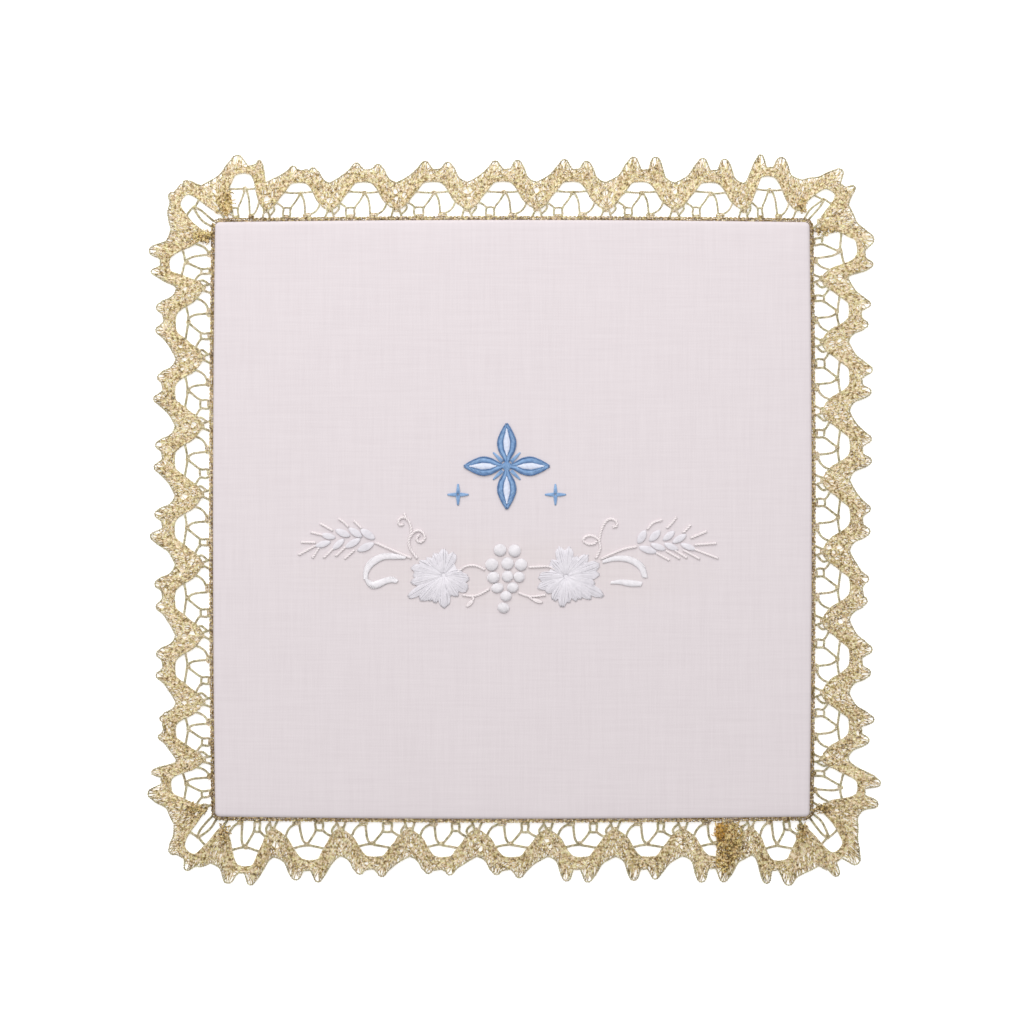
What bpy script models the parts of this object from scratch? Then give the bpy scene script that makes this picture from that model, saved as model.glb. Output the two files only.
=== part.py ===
# A chalice pall: a stiff square covered with linen, edged with scalloped gold bobbin lace
# and embroidered in the middle. It lies on its back, as on a table or on a chalice's rim.
# Metres, +Z up. The origin is the middle of the linen square's underside, and +Y is the
# top of the embroidery. The lace is one strip that runs clockwise, seen from above.

import math
from collections import namedtuple

import bmesh
import bpy

MM = 0.001
WELD_DISTANCE = 0.001 * MM

# The linen square, whose sides bow out a little between its corners.
HALF_SIDE = 79.6 * MM
SIDE_BOW = 0.6 * MM
CORNER_RADIUS = 1.4 * MM
CORNER_STEPS = 4
SIDE_STEPS = 8
LINEN_THICKNESS = 2.6 * MM
EDGE_RADIUS = 1.1 * MM

# The lace strip. In its tables, across runs along the edge and out runs away from it, in
# millimetres of a nominal repeat that is then stretched to the room of each scallop.
REPEAT = 18.0
VALLEY = 9.7
CROWN = 13.3
CROWN_SWELL = 0.4
LACE_GAP = 0.3 * MM
LACE_THICKNESS = 1.0 * MM
GATHERED_ROOM = 8.0 * MM
UNEVENNESS = 0.18
UNEVEN_STEP = 2.4

# The strip slopes from the linen's edge down to the table, with a slight ripple.
FOOT_HEIGHT = 1.3 * MM
RIM_HEIGHT = 0.65 * MM
SLOPE_WIDTH = 12.0 * MM
RIPPLE_MEAN = 0.25 * MM
Ripple = namedtuple("Ripple", "count height")
RIPPLES = [Ripple(9, 0.15 * MM), Ripple(23, 0.1 * MM)]

# The embroidery's pieces lie on the linen.
STITCH_GAP = 0.3 * MM
STITCH_THICKNESS = 0.7 * MM
STITCH_ROUNDING = 0.15 * MM
GRAPE_THICKNESS = 1.1 * MM
GRAPE_ROUNDING = 0.4 * MM
GRAPE_CORNERS = 12
ROUTE_STEPS = 3

# One row for each scallop, clockwise from the top left corner. Start is where it begins,
# in millimetres along its side from the middle. Lean turns that beginning clockwise, in
# degrees, where the strip is gathered round a corner. First and second are how far its
# two picots reach out, and valley how far out it begins. Skew shifts its crown clockwise,
# and swell stretches its holes outwards.
Scallop = namedtuple("Scallop", "start lean first second valley skew swell", defaults=(VALLEY, 0, 1))
SIDES = {
    "top": [
        Scallop(-77.5, -31, 17.7, 16.1, valley=11.0, skew=4.3, swell=1.28),
        Scallop(-66.0, 0, 14.4, 13.9, valley=10.0, skew=0.5),
        Scallop(-49.0, 0, 15.1, 14.7),
        Scallop(-31.0, 0, 15.4, 15.1),
        Scallop(-12.0, 0, 15.4, 15.6),
        Scallop(6.5, 0, 15.8, 15.4),
        Scallop(25.0, 0, 16.6, 16.6),
        Scallop(43.5, 0, 16.4, 16.2),
        Scallop(62.0, 0, 17.5, 16.9, skew=-2.5, swell=1.18),
        Scallop(76.0, 8, 16.8, 15.6, valley=10.9, skew=2.0, swell=1.05),
    ],
    "right": [
        Scallop(-78.5, -29, 17.2, 16.5, valley=11.5, skew=2.4, swell=1.25),
        Scallop(-64.5, 0, 15.7, 15.0),
        Scallop(-47.5, 0, 16.0, 15.6),
        Scallop(-29.0, 0, 15.6, 15.6),
        Scallop(-10.5, 0, 15.3, 15.2),
        Scallop(8.5, 0, 14.9, 14.5),
        Scallop(27.0, 0, 15.9, 15.5),
        Scallop(46.5, 0, 16.5, 15.3),
        Scallop(64.0, 0, 18.6, 18.2, skew=-0.5, swell=1.25),
        Scallop(76.5, 16, 18.3, 17.8, valley=12.8, skew=2.2, swell=1.2),
    ],
    "bottom": [
        Scallop(-77.5, -19, 18.2, 17.4, valley=13.6, skew=1.5, swell=1.15),
        Scallop(-64.0, 0, 16.8, 16.8),
        Scallop(-45.5, 0, 15.9, 16.2),
        Scallop(-27.5, 0, 16.6, 16.3),
        Scallop(-9.5, 0, 15.4, 14.6),
        Scallop(9.5, 0, 14.7, 14.3),
        Scallop(27.5, 0, 15.2, 14.6),
        Scallop(46.0, 0, 16.8, 16.3, skew=-1.3, swell=1.1),
        Scallop(64.0, 0, 17.9, 17.8, valley=10.2, skew=-1.4, swell=1.3),
        Scallop(77.0, 18, 16.6, 15.8, valley=12.6, skew=-2.0, swell=1.2),
    ],
    "left": [
        Scallop(-77.0, -23, 17.8, 16.5, valley=11.5, skew=2.5, swell=1.15),
        Scallop(-64.5, 0, 14.6, 14.1),
        Scallop(-49.0, 0, 15.0, 14.9),
        Scallop(-31.0, 0, 14.9, 15.2),
        Scallop(-12.0, 0, 16.4, 15.2),
        Scallop(6.5, 0, 15.4, 15.0),
        Scallop(25.0, 0, 15.6, 14.6),
        Scallop(43.0, 0, 15.2, 15.1),
        Scallop(62.0, 0, 16.6, 17.2, skew=-2.6, swell=1.18),
        Scallop(76.0, 8, 14.6, 14.2, valley=11.5, skew=2.0, swell=1.1),
    ],
}

# The six largest holes of a repeat: middle, half sizes, turn in degrees, how much narrower
# each is at its outer end than at its middle, and its number of corners.
Hole = namedtuple("Hole", "across out half_across half_out turn taper corners")
HOLES = {
    "slot": Hole(9.0, 8.6, 3.9, 1.2, 0, 0.0, 8),
    "left": Hole(5.9, 4.9, 2.4, 2.5, -14, -0.35, 8),
    "right": Hole(12.4, 4.8, 1.6, 2.1, 8, -0.1, 7),
    "centre": Hole(9.2, 3.0, 1.3, 2.3, -14, 0.5, 7),
    "low_left": Hole(3.2, 2.0, 1.6, 1.4, 10, 0.4, 5),
    "low_right": Hole(14.9, 1.9, 2.1, 1.05, 8, 0.0, 6),
}
OUTER_HOLES = ("slot", "left", "right")

# The strip's two ends are lapped and sewn together in this scallop, over the holes there.
LAPPED_SCALLOP = 21
OPEN_BESIDE_LAP = ("right", "low_right")
LAP_RISE = 0.8 * MM
LapCorner = namedtuple("LapCorner", "across out")
LAP_OUTLINE = [
    LapCorner(2.2, 0.6),
    LapCorner(9.6, 0.6),
    LapCorner(9.3, 6.0),
    LapCorner(9.4, 12.6),
    LapCorner(8.0, 13.0),
    LapCorner(7.6, 15.2),
    LapCorner(6.9, 15.3),
    LapCorner(5.7, 12.7),
    LapCorner(2.7, 9.6),
]

# Rows of grapes: how many, the row's middle, and the grapes' distance and radius.
GrapeRow = namedtuple("GrapeRow", "count x y apart radius")
GRAPE_ROWS = [
    GrapeRow(2, -1.4, -8.2, 3.9, 1.65),
    GrapeRow(3, -1.6, -12.0, 3.9, 1.7),
    GrapeRow(3, -1.6, -15.4, 3.5, 1.5),
    GrapeRow(2, -1.9, -18.2, 4.0, 1.4),
    GrapeRow(1, -1.9, -20.6, 0.0, 1.4),
    GrapeRow(1, -2.3, -23.7, 0.0, 1.4),
]

# Lobes of the right-hand vine leaf: direction in degrees and reach from its middle. The
# left-hand leaf is its mirror image.
LeafLobe = namedtuple("LeafLobe", "direction reach")
LEAF_LOBES = [
    LeafLobe(102, 8.2),
    LeafLobe(58, 7.6),
    LeafLobe(22, 9.8),
    LeafLobe(-30, 11.2),
    LeafLobe(-92, 8.7),
    LeafLobe(-140, 6.6),
    LeafLobe(182, 7.6),
]
LEAF_MIDDLES = {"leaf_right": (14.4, -15.0), "leaf_left": (-18.6, -15.0)}
LEAF_BASE = 4.2
LEAF_LOBE_SPREAD = 30.0
LEAF_TOOTH = 0.7
LEAF_POINTS = 60

# Stitched strands: rows of place and half width along one smooth curve.
Strand = namedtuple("Strand", "x y half")
STRANDS = {
    "blade_left": [
        Strand(-29.2, -11.0, 0.4),
        Strand(-33.0, -10.6, 0.8),
        Strand(-37.2, -11.8, 1.0),
        Strand(-39.2, -14.8, 1.1),
        Strand(-37.4, -17.3, 1.0),
        Strand(-33.8, -16.8, 0.9),
        Strand(-31.0, -16.6, 0.4),
    ],
    "blade_right": [
        Strand(25.4, -11.0, 0.4),
        Strand(29.0, -10.6, 0.8),
        Strand(33.2, -11.8, 1.0),
        Strand(35.2, -14.8, 1.1),
        Strand(33.4, -17.3, 1.0),
        Strand(29.8, -16.9, 0.9),
        Strand(26.6, -16.8, 0.4),
    ],
    "tendril_left": [
        Strand(-26.0, -8.2, 0.4),
        Strand(-27.4, -5.3, 0.4),
        Strand(-27.3, -2.8, 0.4),
        Strand(-28.6, 0.2, 0.4),
        Strand(-30.0, 0.0, 0.35),
        Strand(-30.2, -1.2, 0.3),
    ],
    "tendril_right": [
        Strand(22.7, -8.6, 0.4),
        Strand(23.5, -6.2, 0.4),
        Strand(24.0, -2.8, 0.4),
        Strand(25.4, -0.4, 0.4),
        Strand(27.2, -0.2, 0.35),
        Strand(27.6, -1.4, 0.3),
    ],
}

# Ears of wheat: the stalk's strand and the tip. Each grain is narrow at its foot and wide
# near its end, and the grains get smaller towards the tip.
EAR_STALKS = {
    "ear_left": [Strand(-27.0, -9.6, 0.3), Strand(-31.5, -7.6, 0.3), Strand(-36.4, -6.0, 0.4)],
    "ear_right": [Strand(24.6, -9.4, 0.3), Strand(28.4, -7.8, 0.3), Strand(32.8, -6.4, 0.4)],
}
EAR_TIPS = {"ear_left": (-53.0, -4.6), "ear_right": (49.0, -4.6)}
EAR_TIP_HALF = 0.2
EAR_GRAINS = 5
EAR_NARROWING = 0.45
Swell = namedtuple("Swell", "place half")
EAR_GRAIN = [Swell(0.25, 1.5), Swell(0.85, 2.7)]

# The blue ornament: arms of a star from its middle, each widest part way out.
Arm = namedtuple("Arm", "reach half")
CROSS_ARM = [Arm(2.2, 0.9), Arm(4.2, 2.0), Arm(6.6, 2.4), Arm(9.2, 1.5), Arm(11.6, 0.15)]
RAY_ARM = [Arm(2.2, 0.5), Arm(5.2, 0.1)]
STAR_ARM = [Arm(1.0, 0.5), Arm(2.9, 0.1)]
CROSS_MIDDLE = (-1.5, 14.2)
STAR_MIDDLES = {"star_left": (-14.5, 6.6), "star_right": (11.5, 6.6)}


def clear_scene():
    for obj in list(bpy.data.objects):
        bpy.data.objects.remove(obj, do_unlink=True)


def new_collection(name):
    collection = bpy.data.collections.new(name)
    bpy.context.scene.collection.children.link(collection)
    return collection


def new_material(name, colour, roughness, metallic=0.0):
    material = bpy.data.materials.new(name)
    material.use_nodes = True
    shader = material.node_tree.nodes["Principled BSDF"]
    shader.inputs["Base Color"].default_value = (*colour, 1.0)
    shader.inputs["Roughness"].default_value = roughness
    shader.inputs["Metallic"].default_value = metallic
    return material


def outline_curve(name, loops, thickness, rounding):
    """A 2D curve of closed outlines, holes among them, filled to a plate."""
    curve = bpy.data.curves.new(name, "CURVE")
    curve.dimensions = "2D"
    curve.fill_mode = "BOTH"
    curve.extrude = thickness / 2 - rounding
    curve.bevel_depth = rounding
    curve.bevel_resolution = 1 if rounding > STITCH_ROUNDING else 0
    curve.offset = -rounding
    for loop in loops:
        spline = curve.splines.new("POLY")
        spline.points.add(len(loop) - 1)
        for point, (x, y) in zip(spline.points, loop):
            point.co = (x, y, 0.0, 1.0)
        spline.use_cyclic_u = True
    return curve


def plate(name, loops, thickness, rounding, middle, look, collection):
    """The filled outline as a closed mesh, with its middle plane at the given height."""
    curve = outline_curve(name, loops, thickness, rounding)
    outline = bpy.data.objects.new(name + "_outline", curve)
    outline.location.z = middle
    bpy.context.scene.collection.objects.link(outline)
    graph = bpy.context.evaluated_depsgraph_get()
    mesh = bpy.data.meshes.new_from_object(outline.evaluated_get(graph))
    mesh.materials.clear()
    mesh.materials.append(look)
    weld_caps(mesh)
    piece = bpy.data.objects.new(name, mesh)
    piece.matrix_world = outline.matrix_world
    collection.objects.link(piece)
    bpy.data.objects.remove(outline, do_unlink=True)
    return piece


def weld_caps(mesh):
    cage = bmesh.new()
    cage.from_mesh(mesh)
    bmesh.ops.remove_doubles(cage, verts=cage.verts, dist=WELD_DISTANCE)
    bmesh.ops.recalc_face_normals(cage, faces=cage.faces)
    cage.to_mesh(mesh)
    cage.free()


def even_out_caps(mesh):
    """Swaps the slivers of a plate's top and underside for better shaped triangles."""
    cage = bmesh.new()
    cage.from_mesh(mesh)
    level = {face for face in cage.faces if len({round(v.co.z / MM, 3) for v in face.verts}) == 1}
    inner = [edge for edge in cage.edges if all(face in level for face in edge.link_faces)]
    bmesh.ops.beautify_fill(cage, faces=list(level), edges=inner, method="ANGLE")
    cage.to_mesh(mesh)
    cage.free()


def turned(point, degrees):
    angle = math.radians(degrees)
    x, y = point
    return (
        x * math.cos(angle) - y * math.sin(angle),
        x * math.sin(angle) + y * math.cos(angle),
    )


def edge_point(along, offset):
    """A point on the linen's outline, where along is walked clockwise from the top left."""
    side, position = divmod(along, 2 * HALF_SIDE)
    position -= HALF_SIDE
    straight = HALF_SIDE - CORNER_RADIUS
    past = abs(position) - straight
    if past <= 0:
        bow = SIDE_BOW * (1 - (position / straight) ** 2)
        return turned((position, HALF_SIDE + bow + offset), -90 * side)
    swing = math.pi / 4 * past / CORNER_RADIUS
    reach = CORNER_RADIUS + offset
    x = straight + reach * math.sin(swing)
    y = straight + reach * math.cos(swing)
    return turned((math.copysign(x, position), y), -90 * side)


def linen_outline(offset):
    """The rounded square, with points where its bowed sides and its corners need them."""
    straight = HALF_SIDE - CORNER_RADIUS
    places = [straight * (2 * step / SIDE_STEPS - 1) for step in range(SIDE_STEPS + 1)]
    for step in range(1, CORNER_STEPS):
        places.append(straight + 2 * CORNER_RADIUS * step / CORNER_STEPS)
    outline = []
    for side in range(4):
        middle = (2 * side + 1) * HALF_SIDE
        outline += [edge_point((middle + place) % (8 * HALF_SIDE), offset) for place in places]
    return outline


def linen_square(look, collection):
    loops = [linen_outline(0.0)]
    middle = LINEN_THICKNESS / 2
    return plate("linen_square", loops, LINEN_THICKNESS, EDGE_RADIUS, middle, look, collection)


def lace_spokes():
    """Where each scallop begins: its place along the linen's edge, and outward direction."""
    spokes = []
    for side, rows in enumerate(SIDES.values()):
        for row in rows:
            along = (2 * side + 1) * HALF_SIDE + row.start * MM
            spokes.append((along, 90 - 90 * side - row.lean))
    first_along, first_direction = spokes[0]
    spokes.append((first_along + 8 * HALF_SIDE, first_direction - 360))
    return spokes


def lace_point(spokes, number, across, out):
    """A point of the nominal repeat, laid in the place of the numbered scallop."""
    share = across / REPEAT
    start, end = spokes[number], spokes[number + 1]
    along = start[0] + share * (end[0] - start[0])
    direction = math.radians(start[1] + share * (end[1] - start[1]))
    x, y = edge_point(along % (8 * HALF_SIDE), LACE_GAP)
    return (x + out * MM * math.cos(direction), y + out * MM * math.sin(direction))


def scallop_edge(row, following):
    """The outer edge of one repeat, from its valley over both picots to the next valley."""
    crown = CROWN * (1 + CROWN_SWELL * (row.swell - 1))
    corners = [
        (0.0, row.valley),
        (1.8, row.valley + 0.6),
        (4.6, max(crown - 1.1, row.valley + 1.5)),
        (6.5, row.first - 0.6),
        (7.3, row.first),
        (8.1, row.first - 0.5),
        (8.6, crown),
        (11.3, crown),
        (12.3, row.second - 0.4),
        (13.1, row.second),
        (13.9, row.second - 0.8),
        (14.7, max(crown - 1.4, following.valley + 1.2)),
        (16.3, following.valley + 0.5),
    ]
    return [(across + row.skew * crown_share(across), out) for across, out in corners]


def crown_share(across):
    """How much of the crown's skew a place of the repeat has, from 0 at its ends to 1."""
    share = across / REPEAT
    return 4 * share * (1 - share)


def hole_outline(hole, swell, shift):
    """A hole's corners, carried outwards by as much of the swell as its place has."""
    points = []
    for corner in range(hole.corners):
        angle = 2 * math.pi * (corner + 0.5) / hole.corners
        narrowing = 1 - hole.taper * math.sin(angle)
        point = (
            hole.half_across * narrowing * math.cos(angle),
            hole.half_out * math.sin(angle),
        )
        across, out = turned(point, hole.turn)
        out += hole.out + shift
        points.append((hole.across + across, out * (1 + (swell - 1) * out / VALLEY)))
    return points


def open_holes(number, room):
    """The holes that the numbered scallop has, where its foot has that much room."""
    if number == LAPPED_SCALLOP:
        return [HOLES[name] for name in OPEN_BESIDE_LAP]
    if room < GATHERED_ROOM:
        return [HOLES[name] for name in OUTER_HOLES]
    return list(HOLES.values())


def lace_height(x, y):
    """Height of the strip's middle plane: it slopes down to the table and ripples."""
    overhang = math.hypot(max(0.0, abs(x) - HALF_SIDE), max(0.0, abs(y) - HALF_SIDE))
    slope = min(1.0, overhang / SLOPE_WIDTH)
    slope *= slope * (3 - 2 * slope)
    turn = math.atan2(y, x)
    waves = sum(ripple.height * math.sin(ripple.count * turn) for ripple in RIPPLES)
    return FOOT_HEIGHT + slope * (RIM_HEIGHT + RIPPLE_MEAN + waves - FOOT_HEIGHT)


def lay_down(piece):
    for vertex in piece.data.vertices:
        vertex.co.z += lace_height(vertex.co.x, vertex.co.y)


def lace_edging(look, collection, joined):
    """The strip as one solid: its scalloped rim, its largest holes and its raised lap."""
    spokes = lace_spokes()
    rows = [row for side in SIDES.values() for row in side]
    rim = []
    holes = []
    for number, row in enumerate(rows):
        edge = scallop_edge(row, rows[(number + 1) % len(rows)])
        rim += [lace_point(spokes, number, *point) for point in edge]
        room = spokes[number + 1][0] - spokes[number][0]
        for hole in open_holes(number, room):
            shift = UNEVENNESS * math.sin(UNEVEN_STEP * number + hole.across)
            corners = hole_outline(hole, row.swell, shift)
            holes.append([lace_point(spokes, number, *point) for point in corners])
    loops = [rim, linen_outline(LACE_GAP), *holes]
    lace = plate("lace_edging", loops, LACE_THICKNESS, 0.0, 0.0, look, collection)
    even_out_caps(lace.data)
    lay_down(lace)

    lap_loop = [lace_point(spokes, LAPPED_SCALLOP, *corner) for corner in LAP_OUTLINE]
    lap_thickness = LACE_THICKNESS / 2 + LAP_RISE
    lap = plate("lap", [lap_loop], lap_thickness, 0.0, lap_thickness / 2, look, joined)
    lay_down(lap)
    lap.hide_render = True
    lap.display_type = "WIRE"
    union = lace.modifiers.new("Lapped ends", "BOOLEAN")
    union.operation = "UNION"
    union.object = lap


def stitched_plate(name, loop, look, collection, thickness=STITCH_THICKNESS, rounding=STITCH_ROUNDING):
    """An embroidered shape from its outline in millimetres, just above the linen."""
    metres = [(x * MM, y * MM) for x, y in loop]
    middle = LINEN_THICKNESS + STITCH_GAP + thickness / 2
    return plate(name, [metres], thickness, rounding, middle, look, collection)


def grapes(look, collection):
    number = 0
    for row in GRAPE_ROWS:
        for place in range(row.count):
            number += 1
            x = row.x + row.apart * (place - (row.count - 1) / 2)
            loop = []
            for corner in range(GRAPE_CORNERS):
                angle = 2 * math.pi * corner / GRAPE_CORNERS
                loop.append((x + row.radius * math.cos(angle), row.y + row.radius * math.sin(angle)))
            name = f"grape_{number:02d}"
            stitched_plate(name, loop, look, collection, GRAPE_THICKNESS, GRAPE_ROUNDING)


def leaf_outline(middle, mirror):
    """A vine leaf round its middle: lobes that swell by their direction, with small teeth."""
    loop = []
    for step in range(LEAF_POINTS):
        direction = 360.0 * step / LEAF_POINTS
        reach = LEAF_BASE
        for lobe in LEAF_LOBES:
            away = (direction - lobe.direction + 180) % 360 - 180
            swell = max(0.0, 1 - (away / LEAF_LOBE_SPREAD) ** 2)
            reach = max(reach, LEAF_BASE + (lobe.reach - LEAF_BASE) * swell)
        reach -= LEAF_TOOTH * (step % 2)
        x, y = turned((reach, 0.0), direction)
        loop.append((middle[0] + mirror * x, middle[1] + y))
    return loop


def smooth_strand(rows):
    """More rows on the smooth curve through the given ones."""
    ends = [rows[0], *rows, rows[-1]]
    smooth = []
    for before, start, end, after in zip(ends, ends[1:], ends[2:], ends[3:]):
        for step in range(ROUTE_STEPS):
            t = step / ROUTE_STEPS
            values = [
                b + t * ((c - a) + t * ((2 * a - 5 * b + 4 * c - d) + t * (3 * b - a - 3 * c + d))) / 2
                for a, b, c, d in zip(before, start, end, after)
            ]
            smooth.append(Strand(*values))
    smooth.append(rows[-1])
    return smooth


def strand_outline(rows):
    """Both sides of a strand, each offset from its middle line by its half width."""
    left = []
    right = []
    for number, row in enumerate(rows):
        before = rows[max(0, number - 1)]
        after = rows[min(len(rows) - 1, number + 1)]
        run = math.hypot(after.x - before.x, after.y - before.y)
        side_x = -(after.y - before.y) / run * row.half
        side_y = (after.x - before.x) / run * row.half
        left.append((row.x + side_x, row.y + side_y))
        right.append((row.x - side_x, row.y - side_y))
    return left + right[::-1]


def ear_rows(stalk, tip):
    """The stalk, then grains that swell and draw in towards the tip."""
    rows = smooth_strand(stalk)
    foot = rows[-1]
    for grain in range(EAR_GRAINS):
        fullness = 1 - EAR_NARROWING * grain / (EAR_GRAINS - 1)
        for swell in EAR_GRAIN:
            share = (grain + swell.place) / EAR_GRAINS
            x = foot.x + share * (tip[0] - foot.x)
            y = foot.y + share * (tip[1] - foot.y)
            rows.append(Strand(x, y, swell.half * fullness))
    rows.append(Strand(tip[0], tip[1], EAR_TIP_HALF))
    return rows


def star_outline(middle, arms):
    """Arms of the given half widths, spread evenly round the middle."""
    loop = []
    for number, arm in enumerate(arms):
        direction = 90 - 360 * number / len(arms)
        sides = [(row.reach, row.half) for row in arm]
        sides += [(row.reach, -row.half) for row in reversed(arm)]
        for point in sides:
            x, y = turned(point, direction)
            loop.append((middle[0] + x, middle[1] + y))
    return loop


def embroidery(white, blue, collection):
    grapes(white, collection)
    for name, middle in LEAF_MIDDLES.items():
        mirror = -1 if name == "leaf_left" else 1
        stitched_plate(name, leaf_outline(middle, mirror), white, collection)
    for name, rows in STRANDS.items():
        stitched_plate(name, strand_outline(smooth_strand(rows)), white, collection)
    for name, stalk in EAR_STALKS.items():
        outline = strand_outline(ear_rows(stalk, EAR_TIPS[name]))
        stitched_plate(name, outline, white, collection)
    cross = star_outline(CROSS_MIDDLE, [CROSS_ARM, RAY_ARM] * 4)
    stitched_plate("cross_motif", cross, blue, collection)
    for name, middle in STAR_MIDDLES.items():
        stitched_plate(name, star_outline(middle, [STAR_ARM] * 4), blue, collection)


def main():
    clear_scene()
    pall = new_collection("chalice_pall")
    joined = new_collection("joined_shapes")
    linen = new_material("linen", (0.80, 0.74, 0.77), 0.85)
    gold = new_material("gold_lace", (0.62, 0.47, 0.22), 0.45, 0.6)
    white = new_material("white_thread", (0.86, 0.86, 0.90), 0.6)
    blue = new_material("blue_thread", (0.12, 0.25, 0.55), 0.6)
    linen_square(linen, pall)
    lace_edging(gold, pall, joined)
    embroidery(white, blue, pall)


main()
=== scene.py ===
# A chalice pall lying on a table: linen over a stiff square, edged with gold bobbin lace.
# Every length below is in millimetres until a mesh is made, and mm turns it into metres.
import math
import random

import bpy
import numpy as np
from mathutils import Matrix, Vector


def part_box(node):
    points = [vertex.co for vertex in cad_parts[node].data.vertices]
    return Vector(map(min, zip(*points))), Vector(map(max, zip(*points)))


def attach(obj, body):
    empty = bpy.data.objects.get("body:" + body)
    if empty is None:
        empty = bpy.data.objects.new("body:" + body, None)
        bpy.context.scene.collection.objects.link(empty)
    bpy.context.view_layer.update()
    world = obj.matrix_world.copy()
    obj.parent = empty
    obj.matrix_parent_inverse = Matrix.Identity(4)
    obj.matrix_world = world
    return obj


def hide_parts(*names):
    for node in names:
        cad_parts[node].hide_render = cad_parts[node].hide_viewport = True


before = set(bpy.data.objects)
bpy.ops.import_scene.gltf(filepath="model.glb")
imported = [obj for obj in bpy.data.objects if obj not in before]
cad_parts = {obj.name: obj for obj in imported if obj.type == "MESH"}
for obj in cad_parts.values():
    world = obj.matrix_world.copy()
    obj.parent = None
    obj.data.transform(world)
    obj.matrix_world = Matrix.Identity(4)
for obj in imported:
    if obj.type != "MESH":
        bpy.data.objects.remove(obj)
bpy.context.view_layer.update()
bpy.ops.object.select_all(action="DESELECT")
mm = 0.001
print("frame loaded:", len(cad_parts), "nodes")


# ---- camera, floor and light
studio = {
    "viewCentre": (-0.1, 1.96),  # where the camera looks, from the linen's middle
    "viewWidth": 274.4,
    "lens": 100.0,
    "sensor": 36.0,
    "floorSize": 7000.0,
    "floorColour": (0.86, 0.86, 0.86),
    "floorGlow": 0.5,
    "skyStrength": 0.52,
    "keyPower": 6.7,
    "keyPlace": (-90.0, 430.0, 620.0),
    "keySize": 900.0,
}


def makeStudio():
    scene = bpy.context.scene
    scene.view_settings.view_transform = "Standard"
    x, y = studio["viewCentre"]
    height = studio["viewWidth"] * studio["lens"] / studio["sensor"]
    bpy.ops.object.camera_add(location=(x * mm, y * mm, height * mm), rotation=(0, 0, 0))
    camera = bpy.context.object
    camera.data.lens = studio["lens"]
    camera.data.sensor_width = studio["sensor"]
    camera.data.clip_start = 0.01
    scene.camera = camera

    bpy.ops.mesh.primitive_plane_add(size=studio["floorSize"] * mm, location=(0, 0, 0))
    floor = bpy.context.object
    floor.name = "floor"
    paper = bpy.data.materials.new("whitePaper")
    paper.use_nodes = True
    shader = paper.node_tree.nodes["Principled BSDF"]
    shader.inputs["Base Color"].default_value = (*studio["floorColour"], 1)
    shader.inputs["Roughness"].default_value = 0.9
    shader.inputs["Emission Color"].default_value = (1, 1, 1, 1)
    shader.inputs["Emission Strength"].default_value = studio["floorGlow"]
    floor.data.materials.append(paper)

    world = bpy.data.worlds.new("softRoom")
    world.use_nodes = True
    sky = world.node_tree.nodes["Background"]
    sky.inputs["Color"].default_value = (1, 1, 1, 1)
    sky.inputs["Strength"].default_value = studio["skyStrength"]
    scene.world = world

    place = [v * mm for v in studio["keyPlace"]]
    bpy.ops.object.light_add(type="AREA", location=place)
    key = bpy.context.object
    key.data.energy = studio["keyPower"]
    key.data.size = studio["keySize"] * mm
    toMiddle = -key.location
    key.rotation_euler = toMiddle.to_track_quat("-Z", "Y").to_euler()
    print("studio ready")


makeStudio()


# ---- shader groups that the materials share
def newGroup(name, inputs, outputs):
    group = bpy.data.node_groups.new(name, "ShaderNodeTree")
    for label, kind, value in inputs:
        socket = group.interface.new_socket(label, in_out="INPUT", socket_type=kind)
        socket.default_value = value
    for label, kind in outputs:
        group.interface.new_socket(label, in_out="OUTPUT", socket_type=kind)
    nodes = group.nodes
    return group, nodes, group.links, nodes.new("NodeGroupInput"), nodes.new("NodeGroupOutput")


def mathNode(nodes, links, operation, first, second=None):
    node = nodes.new("ShaderNodeMath")
    node.operation = operation
    for socket, value in zip(node.inputs, (first, second)):
        if isinstance(value, (int, float)):
            socket.default_value = value
        elif value is not None:
            links.new(value, socket)
    return node.outputs[0]


def noiseNode(nodes, links, vector, scale, detail=2.0, roughness=0.5):
    node = nodes.new("ShaderNodeTexNoise")
    node.inputs["Detail"].default_value = detail
    node.inputs["Roughness"].default_value = roughness
    if isinstance(scale, (int, float)):
        node.inputs["Scale"].default_value = scale
    else:
        links.new(scale, node.inputs["Scale"])
    links.new(vector, node.inputs["Vector"])
    return node.outputs["Fac"]


def threadGrainGroup():  # uneven spun or metal thread: a mottle, a mask for painted glints and a fine relief
    group, nodes, links, start, end = newGroup(
        "threadGrain",
        [("Scale", "NodeSocketFloat", 1500.0), ("Glint Share", "NodeSocketFloat", 0.6)],
        [("Mottle", "NodeSocketFloat"), ("Painted Glints", "NodeSocketFloat"), ("Height", "NodeSocketFloat"),
         ("Drift", "NodeSocketFloat")],
    )
    place = nodes.new("ShaderNodeTexCoord").outputs["Object"]
    mottle = noiseNode(nodes, links, place, start.outputs["Scale"], 3.0, 0.6)
    finer = mathNode(nodes, links, "MULTIPLY", start.outputs["Scale"], 2.3)
    glintNoise = noiseNode(nodes, links, place, finer, 1.0)
    above = mathNode(nodes, links, "SUBTRACT", glintNoise, start.outputs["Glint Share"])
    glints = mathNode(nodes, links, "MULTIPLY", above, 9.0)
    clamped = mathNode(nodes, links, "MAXIMUM", mathNode(nodes, links, "MINIMUM", glints, 1.0), 0.0)
    finest = mathNode(nodes, links, "MULTIPLY", start.outputs["Scale"], 4.0)
    height = noiseNode(nodes, links, place, finest, 2.0)
    coarser = mathNode(nodes, links, "MULTIPLY", start.outputs["Scale"], 0.6)
    links.new(noiseNode(nodes, links, place, coarser, 1.0), end.inputs["Drift"])
    links.new(mottle, end.inputs["Mottle"])
    links.new(clamped, end.inputs["Painted Glints"])
    links.new(height, end.inputs["Height"])
    return group


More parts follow.
